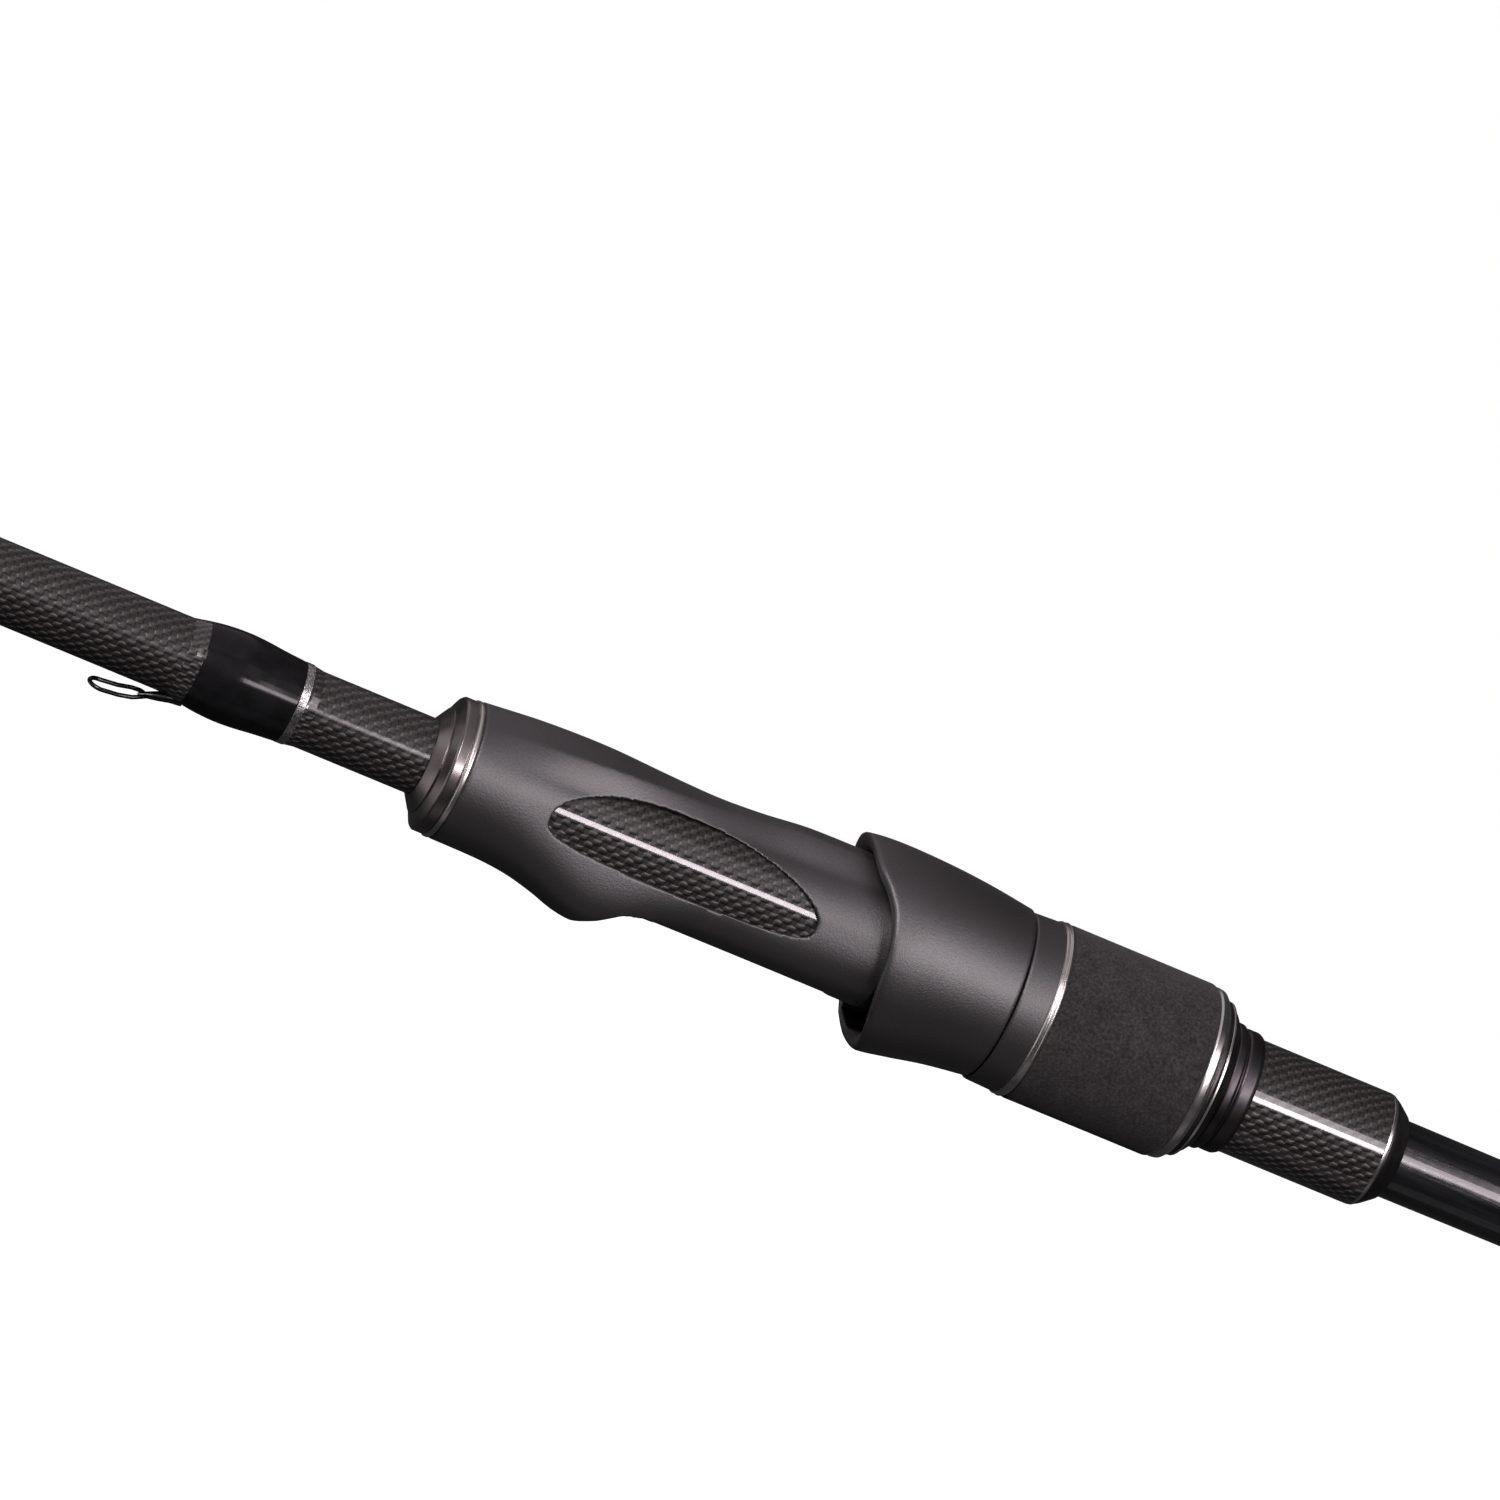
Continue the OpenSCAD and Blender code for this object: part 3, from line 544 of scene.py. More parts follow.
def curve_through(table, x):
    """Smooth value at x from [x, value] points."""
    last = len(table) - 2
    i = max(k for k in range(last + 1) if k == 0 or table[k][0] <= x)

    def slope(k):
        a, b = max(k - 1, 0), min(k + 1, last + 1)
        return (table[b][1] - table[a][1]) / (table[b][0] - table[a][0])

    h = table[i + 1][0] - table[i][0]
    t = min(max((x - table[i][0]) / h, 0), 1)
    u = 1 - t
    rise = table[i + 1][1] - table[i][1]
    return (table[i][1] + rise * t * t * (3 - 2 * t)
            + h * t * u * (u * slope(i) - t * slope(i + 1)))


def signed_power(value, power):
    """Power of the size, with the sign kept."""
    return math.copysign(abs(value) ** power, value)


def oval(a, half_w, top, bottom, square):
    """(y, z) of a section at angle a from the top; the underside is squarer."""
    up = math.cos(a) >= 0
    n = 2 if up else square
    return (half_w * signed_power(math.sin(a), 2 / n),
            (top if up else bottom) * signed_power(math.cos(a), 2 / n))


def loft(name, rings, material):
    """A closed skin over rings of points, with a fan at each end."""
    count = len(rings[0])
    points = [p for ring in rings for p in ring]
    faces = skin(len(rings), count)
    for ring, order in ((0, 1), (len(rings) - 1, -1)):
        centre = sum((Vector(p) for p in rings[ring]), Vector()) / count
        points.append(tuple(centre))
        base = ring * count
        for j in range(count):
            pair = (base + j, base + (j + 1) % count)
            faces.append((len(points) - 1, *pair[::order]))
    return make_mesh(name, points, faces, material)


def prism(ends):
    """Cutter between two outlines with the same number of points."""
    count = len(ends) // 2
    faces = skin(2, count) + [tuple(range(count)), tuple(range(count, 2 * count))]
    return make_mesh("cutter", ends, faces, MATERIALS["seat_plastic"])


def rod_cutter(x0, x1, r, sides=160):
    """Round bar along X."""
    return prism([(x, r * math.sin(TAU * k / sides), r * math.cos(TAU * k / sides))
                  for x in (x0, x1) for k in range(sides)])


def plate_cutter(outline, y0, y1):
    """Prism across Y from an [x, z] outline."""
    return prism([(x, y, z) for y in (y0, y1) for x, z in outline])


def carve(piece, cutters):
    """Cuts the cutters out of a piece and throws them away."""
    for cutter in cutters:
        fix_normals(cutter)
        step = piece.modifiers.new("cut", "BOOLEAN")
        step.operation = "DIFFERENCE"
        step.solver = "EXACT"
        step.object = cutter
        bake_modifiers(piece)
        bpy.data.objects.remove(cutter)


def fix_normals(piece):
    """Turns every face outwards."""
    work = bmesh.new()
    work.from_mesh(piece.data)
    bmesh.ops.recalc_face_normals(work, faces=work.faces)
    work.to_mesh(piece.data)
    work.free()


def bake_modifiers(piece):
    """Replaces the piece's mesh by what its modifiers make of it."""
    graph = bpy.context.evaluated_depsgraph_get()
    mesh = bpy.data.meshes.new_from_object(piece.evaluated_get(graph))
    piece.modifiers.clear()
    old = piece.data
    piece.data = mesh
    bpy.data.meshes.remove(old)


def mould(piece, voxel, smoothing):
    """Rounds every edge of a carved piece as a mould does."""
    remesh = piece.modifiers.new("skin", "REMESH")
    remesh.mode = "VOXEL"
    remesh.voxel_size = voxel * MM
    remesh.use_smooth_shade = True
    relax = piece.modifiers.new("relax", "SMOOTH")
    relax.factor = 0.5
    relax.iterations = smoothing
    bake_modifiers(piece)
    for polygon in piece.data.polygons:
        polygon.use_smooth = True


# ---------------------------------------------------------------- reel seat

SEAT_TOP = [(235, 10.8), (245, 11.6), (255, 11.8), (265, 11.35), (273, 11.1), (280, 11.4),
            (288, 12.1), (304, 12.15)]
SEAT_BOTTOM = [(235, 10.7), (243, 10.85), (248, 11.35), (252.5, 12.35), (257, 13.65),
               (260.5, 13.95), (264, 13.2), (268, 11.5), (275, 9.8), (304, 9.68)]
SEAT_HALF_W = [(235, 10.75), (243, 10.7), (250, 10), (257, 9.6), (265, 9.5), (285, 9.5),
               (293, 9.9), (304, 10.8)]
SEAT_SQUARE = [(235, 2), (245, 2.3), (256, 3.4), (268, 3.2), (276, 2.8), (304, 2.6)]
SPINE_EDGE = [(235, 46), (250, 42), (265, 33), (280, 22), (304, 20)]
SPINE_FALL = 26        # degrees over which the spine runs out into the flank
LAND_Z = 9.45          # depth of the flat under the reel foot
LAND_X = (269.5, 299.5)
FIXED_MOUTH = [(258.6, -14.1), (261.8, -12.5), (264.8, -10.4), (266, -10), (268, -9.85),
               (276, -9.85)]
POCKET_HALF_W = 7.3
FAR = 40               # past the outside of everything near the seat


def seat_point(a, x):
    """(y, z) of the body at angle a from the top: an oval with a spine raised on it."""
    half_w = curve_through(SEAT_HALF_W, x)
    off_top = min(a, TAU - a)
    if off_top > math.pi / 2:
        return oval(a, half_w, half_w, curve_through(SEAT_BOTTOM, x),
                    curve_through(SEAT_SQUARE, x))
    foot = curve_through(SPINE_EDGE, x) + SPINE_FALL
    t = min(max((foot - math.degrees(off_top)) / SPINE_FALL, 0), 1)
    r = half_w + (curve_through(SEAT_TOP, x) - half_w) * t * t * (1.6 - 0.6 * t)
    return r * math.sin(a), r * math.cos(a)


def seat_ring(x, sides=192):
    return [(x, *seat_point(TAU * k / sides, x)) for k in range(sides)]


WINDOW_MIDDLE, WINDOW_HALF = (270.4, -0.6), 21.6     # (x, z), and half its length
WINDOW_UP, WINDOW_DOWN, WINDOW_LEAN = 7.4, 3.9, 0.4


def window_outline(steps=96):
    """The long side window: an arch that leans to the rear over a flatter lower edge."""
    x, z = WINDOW_MIDDLE
    outline = []
    for k in range(steps):
        c, s = math.cos(TAU * k / steps), math.sin(TAU * k / steps)
        upper = WINDOW_UP * s ** 1.15 - WINDOW_LEAN * c * s if s > 0 else 0
        lower = WINDOW_DOWN * (-s) ** 0.42 if s <= 0 else 0
        outline.append((x + WINDOW_HALF * signed_power(c, 0.95), z + upper - lower))
    return outline


POCKET_PLAN = [(247.5, 3), (249, 4.3), (251, 5.3), (254, 6.4), (258.5, POCKET_HALF_W),
               (274, POCKET_HALF_W)]
POCKET_DEPTH = [(247.5, 10.5), (258.5, 12.2), (274, 12.4)]


def foot_pocket():
    """Cutter for the pocket that takes the rear end of the reel foot."""
    rings = []
    for x in (247.5, 248.2, 249, 250, 251, 252.5, 254, 256, 258.5, 264, 274):
        half, deep = curve_through(POCKET_PLAN, x), curve_through(POCKET_DEPTH, x)
        top = LAND_Z + 0.1
        rings.append([(x, half * math.cos(a), -top - (deep - top) * math.sin(a) ** 0.8)
                      for a in (math.pi * k / 24 for k in range(25))])
    return loft("cutter", rings, MATERIALS["seat_plastic"])


def seat_body():
    """Moulded body with the spine, two windows, the land and the fixed hood."""
    x0, x1 = span("seat_body")
    steps = 140
    piece = loft("seat_body_look", [seat_ring(x0 + (x1 - x0) * k / steps)
                                    for k in range(steps + 1)], MATERIALS["seat_plastic"])
    fix_normals(piece)
    land = [(LAND_X[0], -LAND_Z), (LAND_X[0], -FAR), (LAND_X[1], -FAR), (LAND_X[1], -LAND_Z)]
    mouth = [*FIXED_MOUTH, (FIXED_MOUTH[-1][0], -FAR), (FIXED_MOUTH[0][0], -FAR)]
    carve(piece, [
        rod_cutter(x0 - 1, x1 + 1, radius("seat_pipe") + 0.01),
        joined("windows", [plate_cutter(window_outline(), -FAR, -4),
                           plate_cutter(window_outline(), 4, FAR)]),
        plate_cutter(mouth, -FAR, FAR),
        foot_pocket(),
        plate_cutter(land, -POCKET_HALF_W, POCKET_HALF_W)])
    mould(piece, voxel=0.22, smoothing=3)
    return stand_for(piece, "seat_body")


# ---------------------------------------------------------------- hood

HOOD_TOP = [(295, 14.75), (299, 15.25), (304, 15.345), (311, 15.05), (317, 14.5), (324, 13.55)]
HOOD_BOTTOM = [(295, 13.2), (302, 14.2), (304.5, 15.2), (306.5, 15.6), (311, 14.9),
               (317, 13.75), (324, 12.85)]
HOOD_HALF_W = [(295, 13.9), (301, 14.5), (306, 14.69), (312, 14.2), (324, 13.3)]
HOOD_MOUTH = [(-16, 306), (-11, 304.2), (-6, 303), (0, 302.3), (5, 301.1), (8, 299.5),
              (11.3, 297), (15, 295.2)]
HOOD_BORE, NUT_BORE, BORE_END = 12.46, 11.8, 316.2
HOOD_POCKET = [(290, 13), (306, 13), (315, 12.4), (330, 12.3)]
HOOD_POCKET_END, HOOD_POCKET_HALF_W, HOOD_POCKET_R = 315, 9, 14
LIP_LIMIT, UNDERCUT = 1.15, 1.7      # longest rounding of the lip, and how far its top is undercut
REAR_EDGE = 0.12                     # chamfer where the hood meets the collar


def hood_outer(a, x):
    """(radius, angle from the top) of the hood's outside at section parameter a."""
    y, z = oval(a, curve_through(HOOD_HALF_W, x), curve_through(HOOD_TOP, x),
                curve_through(HOOD_BOTTOM, x), 2)
    return math.hypot(y, z), math.atan2(y, z)


def hood_inner(turn, x):
    """Bore radius at an angle from the top, with the reel foot's pocket at the bottom."""
    off = math.pi - abs(turn)
    if x > HOOD_POCKET_END or off > math.pi / 3:
        return HOOD_BORE
    floor_r = curve_through(HOOD_POCKET, x) / math.cos(off)
    side_r = HOOD_POCKET_HALF_W / max(math.sin(off), 0.01)
    return max(HOOD_BORE, min(floor_r, side_r, HOOD_POCKET_R))


def hood_profile(a, end_x):
    """Closed (x, y, z) section of the hood's wall at section parameter a."""
    mouth = curve_through(HOOD_MOUTH, 15 * math.cos(a))
    r_out, turn = hood_outer(a, mouth)
    r_in = hood_inner(turn, mouth)
    lip = min(0.45 * (r_out - r_in), LIP_LIMIT)
    inner_x = mouth + 0.15 + UNDERCUT * max(math.cos(a), 0) ** 3
    middle = ((mouth + inner_x) / 2, (r_out + r_in) / 2)
    steps = 44
    path = []
    for k in range(steps + 1):
        x = end_x - REAR_EDGE + (mouth + lip - end_x + REAR_EDGE) * k / steps
        path.append((x, hood_outer(a, x)[0]))
    path += bend_points(path[-1], (mouth, r_out), middle, 5)[1:]
    path += bend_points(middle, (inner_x, r_in), (inner_x + lip, r_in), 5)[1:]
    for k in range(1, 13):
        x = inner_x + lip + (BORE_END - inner_x - lip) * k / 12
        path.append((x, hood_inner(turn, x)))
    path += [(BORE_END, NUT_BORE), (end_x - 0.05, NUT_BORE), (end_x, NUT_BORE + 0.1),
             (end_x, path[0][1] - 0.14)]
    return [(x, r * math.sin(turn), r * math.cos(turn)) for x, r in path]


def moving_hood():
    """The hood's wall, turned round the rod as a section that changes with the angle."""
    end_x = span("moving_hood")[1]
    sides = 240
    rings = [hood_profile(TAU * k / sides, end_x) for k in range(sides)]
    piece = make_mesh("moving_hood_look", [p for ring in rings for p in ring],
                      skin(sides, len(rings[0]), closed=True), MATERIALS["seat_plastic"])
    fix_normals(piece)
    smooth_look(piece, 50)
    return stand_for(piece, "moving_hood")


# ---------------------------------------------------------------- turned trim

def winding_check():
    """Stepped gunmetal ring behind the seat, and its bright rim."""
    x0, x1 = span("winding_check")
    r, bore = radius("winding_check"), radius("handle_tube")
    turned_piece("winding_check", [
        (x0, bore), (x0, bore + 0.35), (x0 + 1.4, 8.35), (x0 + 1.55, 8.2), (x0 + 1.7, 8.65),
        (x0 + 2.5, r - 0.24), (x0 + 2.8, r), (x1 - 0.2, r), (x1, r - 0.24), (x1, bore)], 0.08)
    x0, x1 = span("winding_check_rim")
    turned_piece("winding_check_rim", [
        (x0, bore), (x0, 10.35), (x0 + 0.25, 10.75), (x0 + 0.75, 10.75), (x1, 10.45),
        (x1, bore)], 0.1)


WRAP_CROWN = [(0, 0.02), (1, 0.2), (2.4, 0.48), (5, 0.86), (8.2, 1.05), (11, 0.95), (14.5, 0.6),
              (17.8, 0.34), (19.1, 0.25), (20.7, 0.02)]


def keeper_wrap():
    """Black thread under epoxy; the epoxy is clear at both ends and the weave shows there."""
    x0, x1 = span("keeper_wrap")
    tube, band = radius("handle_tube"), span("keeper_wrap_band")
    seat = tube + 0.17
    black_start = x0 + 2.4

    def crown(start, end, step=0.4):
        count = max(1, round((end - start) / step))
        xs = [start + (end - start) * k / count for k in range(count + 1)]
        return [(x, tube + curve_through(WRAP_CROWN, x - x0)) for x in xs]

    clear = MATERIALS["woven_carbon_gloss"]
    for name, start, end in (("rear", x0, black_start), ("front", band[1], x1)):
        piece = lathe(f"keeper_wrap_{name}_lip", [(start, tube), *crown(start, end), (end, tube)],
                      clear, 0.03)
        stand_for(piece, "keeper_wrap", slot="woven_carbon_gloss")
    turned_piece("keeper_wrap", [(black_start, tube), *crown(black_start, band[0]),
                                 (band[0], seat), (band[1], seat), (band[1], tube)], 0.04)
    turned_piece("keeper_wrap_band", [
        (band[0], seat), (band[0], tube + 0.38), (band[1], tube + 0.36), (band[1], seat)], 0.1,
        material=MATERIALS["thread_silver"])


SLEEVE_R, NECK_BORE = 12.0, 8.99     # the nut's outside, and the bore of the neck


def hood_collar():
    x0, x1 = span("hood_collar")
    turned_piece("hood_collar", [(x0, SLEEVE_R), (x0, 13.1), (x0 + 0.3, 13.3), (x1, 13.5),
                                 (x1, SLEEVE_R)], 0.15)


def foregrip():
    """The foam with a bright ring at each end."""
    x0, x1 = span("foregrip_rear_ring")
    turned_piece("foregrip_rear_ring", [
        (x0, SLEEVE_R), (x0, 13.5), (x0 + 0.25, 13.78), (x0 + 0.55, 13.5), (x0 + 0.7, 13.5),
        (x0 + 0.95, 13.85), (x1, 13.7), (x1, SLEEVE_R)], 0.1)
    x0, x1 = span("foregrip")
    r = radius("foregrip")
    turned_piece("foregrip", [(x0, SLEEVE_R), (x0, r - 0.25), (x0 + 0.6, r), (x1 - 0.6, r),
                              (x1, r - 0.3), (x1, SLEEVE_R)], 0.3, subdivide=1.0)
    x0, x1 = span("foregrip_front_ring")
    turned_piece("foregrip_front_ring", [
        (x0, SLEEVE_R), (x0, 13.3), (x0 + 0.4, 13.55), (x0 + 1.3, 13.4), (x1 - 0.15, 12.95),
        (x1, 12.7), (x1, SLEEVE_R)], 0.15)


def nose():
    """The black cone ahead of the foam, with a line ring and two neck rings."""
    x0, x1 = span("nose_cone")
    turned_piece("nose_cone", [
        (x0, NECK_BORE), (x0, 12.45), (x0 + 0.6, 12.45), (x0 + 0.9, 12), (x0 + 1.3, 12),
        (x0 + 1.35, 11.9), (x0 + 2.2, 11.2), (x1, 10.4), (x1, NECK_BORE)], 0.2)
    x0, x1 = span("nose_line_ring")
    turned_piece("nose_line_ring", [(x0, 12), (x0, 12.28), (x1, 12.28), (x1, 12)], 0.1)
    x0, x1 = span("neck_ring_rear")
    turned_piece("neck_ring_rear", [
        (x0, NECK_BORE), (x0, 9.6), (x0 + 0.4, 9.95), (x0 + 1.5, 9.95), (x0 + 1.8, 9.5), (x1, 9.5),
        (x1, NECK_BORE)], 0.2)
    x0, x1 = span("neck_ring_front")
    turned_piece("neck_ring_front", [
        (x0, NECK_BORE), (x0, 9.35), (x0 + 0.3, 9.6), (x1 - 0.6, 9.6), (x1, 9.3),
        (x1, NECK_BORE)], 0.2)


def pipe_front():
    """The woven pipe, the silver ring on its end and the cone down to the blank."""
    x0, x1 = span("pipe_end_ring")
    pipe, blank = radius("seat_pipe"), radius("butt_blank")
    turned_piece("pipe_end_ring", [(x0, blank), (x0, pipe), (x1, pipe - 0.13), (x1, blank)],
                 0.12)
    x0, x1 = span("blank_taper_cone")
    turned_piece("blank_taper_cone", [
        (x0, blank - 0.1), (x0, 8.72), (x0 + 0.8, 8.3), (x0 + 2.9, 6.7), (x1, blank + 0.02),
        (x1, blank - 0.1)], 0.25)
    x0, x1 = span("seat_pipe")
    turned_piece("seat_pipe", [(x0, 8), (x0, pipe), (x1, pipe), (x1, 8)], 0.05, subdivide=6.0)


KEYWAY_HALF_W, KEYWAY_Z = 1.2, 9.35     # the slot that the hood's key slides in


def threaded_barrel():
    """The barrel with its thread cut as a true helix, and the key's slot along the top."""
    x0, x1 = span("threaded_barrel")
    major, minor, pitch, bore = radius("threaded_barrel"), 9.55, 2.0, 8.94
    steps, arcs = 190, 96     # sections along the barrel, and points round each
    edge = math.asin(KEYWAY_HALF_W / major)
    turns = [edge + (TAU - 2 * edge) * k / arcs for k in range(arcs + 1)]
    rings = []
    for i in range(steps + 1):
        x = x0 + (x1 - x0) * i / steps
        fade = min(1.0, max(0.0, (x - x0 - 2) / 1.5), max(0.0, (x1 - 0.6 - x) / 1.5))
        ring = []
        for a in turns:
            phase = (x / pitch - a / TAU) % 1.0
            tooth = min(1.0, max(0.0, 2.6 - abs(phase - 0.5) * 8))     # flat crest
            r = minor + (major - minor) * tooth * fade
            ring.append((x, r * math.sin(a), r * math.cos(a)))
        for k, side in ((0, 1), (-1, -1)):
            r = math.hypot(*ring[k][1:])
            ring[k] = (x, side * KEYWAY_HALF_W, math.sqrt(r * r - KEYWAY_HALF_W ** 2))
        ring += [(x, y, KEYWAY_Z) for y in (-KEYWAY_HALF_W, 0, KEYWAY_HALF_W)]
        rings.append(ring)
    inner = turns + [-edge / 2, 0, edge / 2]
    for x in (x1, x0):
        rings.append([(x, bore * math.sin(a), bore * math.cos(a)) for a in inner])
    piece = make_mesh("threaded_barrel_look", [p for ring in rings for p in ring],
                      skin(len(rings), len(inner), closed=True), MATERIALS["inner_plastic"])
    smooth_look(piece)
    stand_for(piece, "threaded_barrel")


# ---------------------------------------------------------------- butt

def butt_cap():
    """Rubber cap and the bright ring next to it."""
    r, tube = radius("butt_grip"), radius("handle_tube")
    x0, x1 = span("butt_cap")
    turned_piece("butt_cap", [
        (x0, 0.02), (x0, r - 1.8), (x0 + 0.5, r - 0.6), (x0 + 1.7, r), (x1 - 0.4, r),
        (x1, r - 0.15), (x1, tube), (x0 + 3, tube), (x0 + 3, 0.02)], 0.4)
    x0, x1 = span("butt_trim_ring")
    turned_piece("butt_trim_ring", [(x0, tube), (x0, r - 0.35), (x0 + 0.3, r - 0.2),
                                    (x1 - 0.3, r - 0.2), (x1, r - 0.35), (x1, tube)], 0.1)


GRIP_STRAIGHT_END = 74.0
SHOULDER_DROP = [(0, 0), (0.08, 0.12), (0.22, 0.6), (0.48, 2), (0.75, 3.8), (1, 4.9)]


def butt_grip():
    """Foam grip with a rounded front, and the dark ring that closes it."""
    r, tube = radius("butt_grip"), radius("handle_tube")
    x0, x1 = span("butt_grip")
    length = x1 - GRIP_STRAIGHT_END
    shoulder = [(GRIP_STRAIGHT_END + length * t, r - curve_through(SHOULDER_DROP, t))
                for t in (k / 16 for k in range(17))]
    turned_piece("butt_grip", [(x0, tube), (x0, r - 0.2), (x0 + 0.6, r), *shoulder, (x1, tube)],
                 0.2, subdivide=2.0)
    x0, x1 = span("grip_front_ring")
    turned_piece("grip_front_ring", [
        (x0, tube), (x0, r - 4.7), (x0 + 1.4, r - 4.7), (x0 + 1.5, r - 4.95), (x1, tube + 0.5),
        (x1, tube)], 0.1)


TUBE_BORE = 5.1


def handle_tube():
    x0, x1 = span("handle_tube")
    tube = radius("handle_tube")
    turned_piece("handle_tube", [(x0, TUBE_BORE), (x0, tube), (x1, tube), (x1, TUBE_BORE)],
                 0.05, subdivide=8.0)


def hook_keeper():
    """Bent wire loop, turned a little about the rod, with its foot under the wrap."""
    wire, half, rear, z, tilt = 0.34, 1.75, 181.4, -8.3, 0.36
    front = span("keeper_wrap")[0]
    root = Vector((front - 2.2, 0, -7.2))

    def at(x, y, height):
        return Vector((x, y, height + tilt * y))

    turns = (math.pi * (0.5 + k / 18) for k in range(19))
    path = [root + Vector((0, 0.25, 0.1)), at(front - 3.2, 1.2, z + 1.0),
            at(front - 4.4, half, z + 0.7), at(front - 6.5, half, z + 0.25)]
    path += [at(rear + half * math.cos(a), half * math.sin(a), z) for a in turns]
    path += [at(front - 6.5, -half, z + 0.25), at(front - 4.4, -half, z + 0.7),
             at(front - 3.2, -1.2, z + 1.0), root - Vector((0, 0.25, 0.1))]
    loop = tube_mesh("loop", path, [wire] * len(path), MATERIALS["guide_steel"])
    tail = [root - Vector((1.3, 0, 0.3)), root + Vector((0.1, 0, 0.1)),
            Vector((front - 0.6, 0, -6.65)), Vector((front + 1.2, 0, -6.2)),
            Vector((front + 3, 0, -6.05))]
    foot = tube_mesh("foot", tail, [0.25, 0.55, 0.75, 0.8, 0.78], MATERIALS["guide_steel"])
    stand_for(joined("hook_keeper_look", [loop, foot]), "hook_keeper")


# ---------------------------------------------------------------- blank

BLANK_R, JOINT_R = 6.1, 3.5        # butt blank at the seat and at the ferrule
PIPE_END, JOINT_X = 385.1, 1035    # where its taper starts and ends
FERRULE_X, TIP_END = 970, 1976
TIP_MIDDLE = [(1045, 4.29), (1400, 2.65), (1700, 1.6)]
TIP_TAPER = [(FERRULE_X, 4.65), *TIP_MIDDLE, (TIP_END, 0.8)]


def butt_blank():
    x0, x1 = span("butt_blank")
    pipe_end = span("seat_pipe")[1]
    turned_piece("butt_blank", [
        (x0, TUBE_BORE), (x0, BLANK_R), (pipe_end, BLANK_R), (x1, JOINT_R), (x1, JOINT_R - 1.1),
        (pipe_end, 5.0), (x0 + 24, TUBE_BORE)], 0.05, subdivide=30.0)


def tip_blank():
    """Tip section; its rear end is bored to slide over the butt blank."""
    x0, x1 = span("tip_blank")
    mouth = radius("tip_blank")
    turned_piece("tip_blank", [
        (x0, mouth - 0.85), (x0, mouth), *TIP_MIDDLE, (x1, 0.8), (x1, 0.02), (1650, 0.02),
        (1400, 1.65), (1037, 2.94), (1036.8, 3.54), (JOINT_X, 3.54)], 0.05, subdivide=30.0)


def blank_r(x):
    """Outer radius of the rod at x, in mm."""
    if x < span("tip_blank")[0]:
        taper = (BLANK_R - JOINT_R) / (JOINT_X - PIPE_END)
        return BLANK_R - taper * max(0.0, x - PIPE_END)
    for (xa, ra), (xb, rb) in zip(TIP_TAPER, TIP_TAPER[1:]):
        if x <= xb:
            return ra + (rb - ra) * (x - xa) / (xb - xa)
    return TIP_TAPER[-1][1]


def wrap_over(name, node, x0, x1, thick):
    """A lens of epoxy over thread, feathered at both ends."""
    count = 14
    top = []
    for k in range(count + 1):
        t = k / count
        x = x0 + (x1 - x0) * t
        dome = min(1.0, t * 7, (1 - t) * 7)
        dome = dome * dome * (3 - 2 * dome)
        top.append((x, blank_r(x) + 0.05 + (thick - 0.05) * dome))
    outline = [(x0, blank_r(x0))] + top + [(x1, blank_r(x1))]
    stand_for(lathe(name, outline, MATERIALS["wrap_epoxy"], 0.05, 64), node)


# ---------------------------------------------------------------- guides

BUTT_GUIDES = 2        # the first guides stand on the butt section and have two feet
FIRST_GUIDE_X, FIRST_GAP, GAP_STEP = 750, 176, 6
RING_RADII = [7.9, 4.6, 3.2, 2.3, 2.3, 2, 2, 2]
RING_GAPS = [9, 4.6, 2.6, 1.6, 1.6, 1.4, 1.4, 1.4]     # between the blank and the hoop
RING_WALL, HOOP_WALL = 0.9, 0.8
LEAN = math.radians(12)
LONG_FOOT, SHORT_FOOT, REAR_FOOT = 13, 8, 11     # front foot on the butt and the tip, rear foot
LEG_IN_FOOT, WRAP_IN, WRAP_PAST = 1.2, 2.4, 3    # from the foot's ends to the leg and the wrap


def guide_place(i):
    """Centre of ring i: x along the rod, and its depth below the axis."""
    x = FIRST_GUIDE_X + FIRST_GAP * i - GAP_STEP * i * (i - 1) / 2
    return x, -(blank_r(x) + RING_GAPS[i] + RING_RADII[i] + RING_WALL + HOOP_WALL)


def leaning(x, z):
    """Puts a piece made about X at the origin on a guide ring's centre, in mm."""
    return Matrix.Translation((x * MM, 0, z * MM)) @ Matrix.Rotation(-LEAN, 4, "Y")


def ring_insert(i):
    x, z = guide_place(i)
    r, rim = RING_RADII[i], RING_RADII[i] + RING_WALL
    outline = [(-0.42, r), (-0.95, r + 0.35), (-1, rim), (1, rim), (0.95, r + 0.35), (0.42, r)]
    piece = lathe(f"guide_ring_{i + 1}_look", outline, MATERIALS["ring_ceramic"], 0.35, 72)
    piece.data.transform(leaning(x, z))
    stand_for(piece, f"guide_ring_{i + 1}")


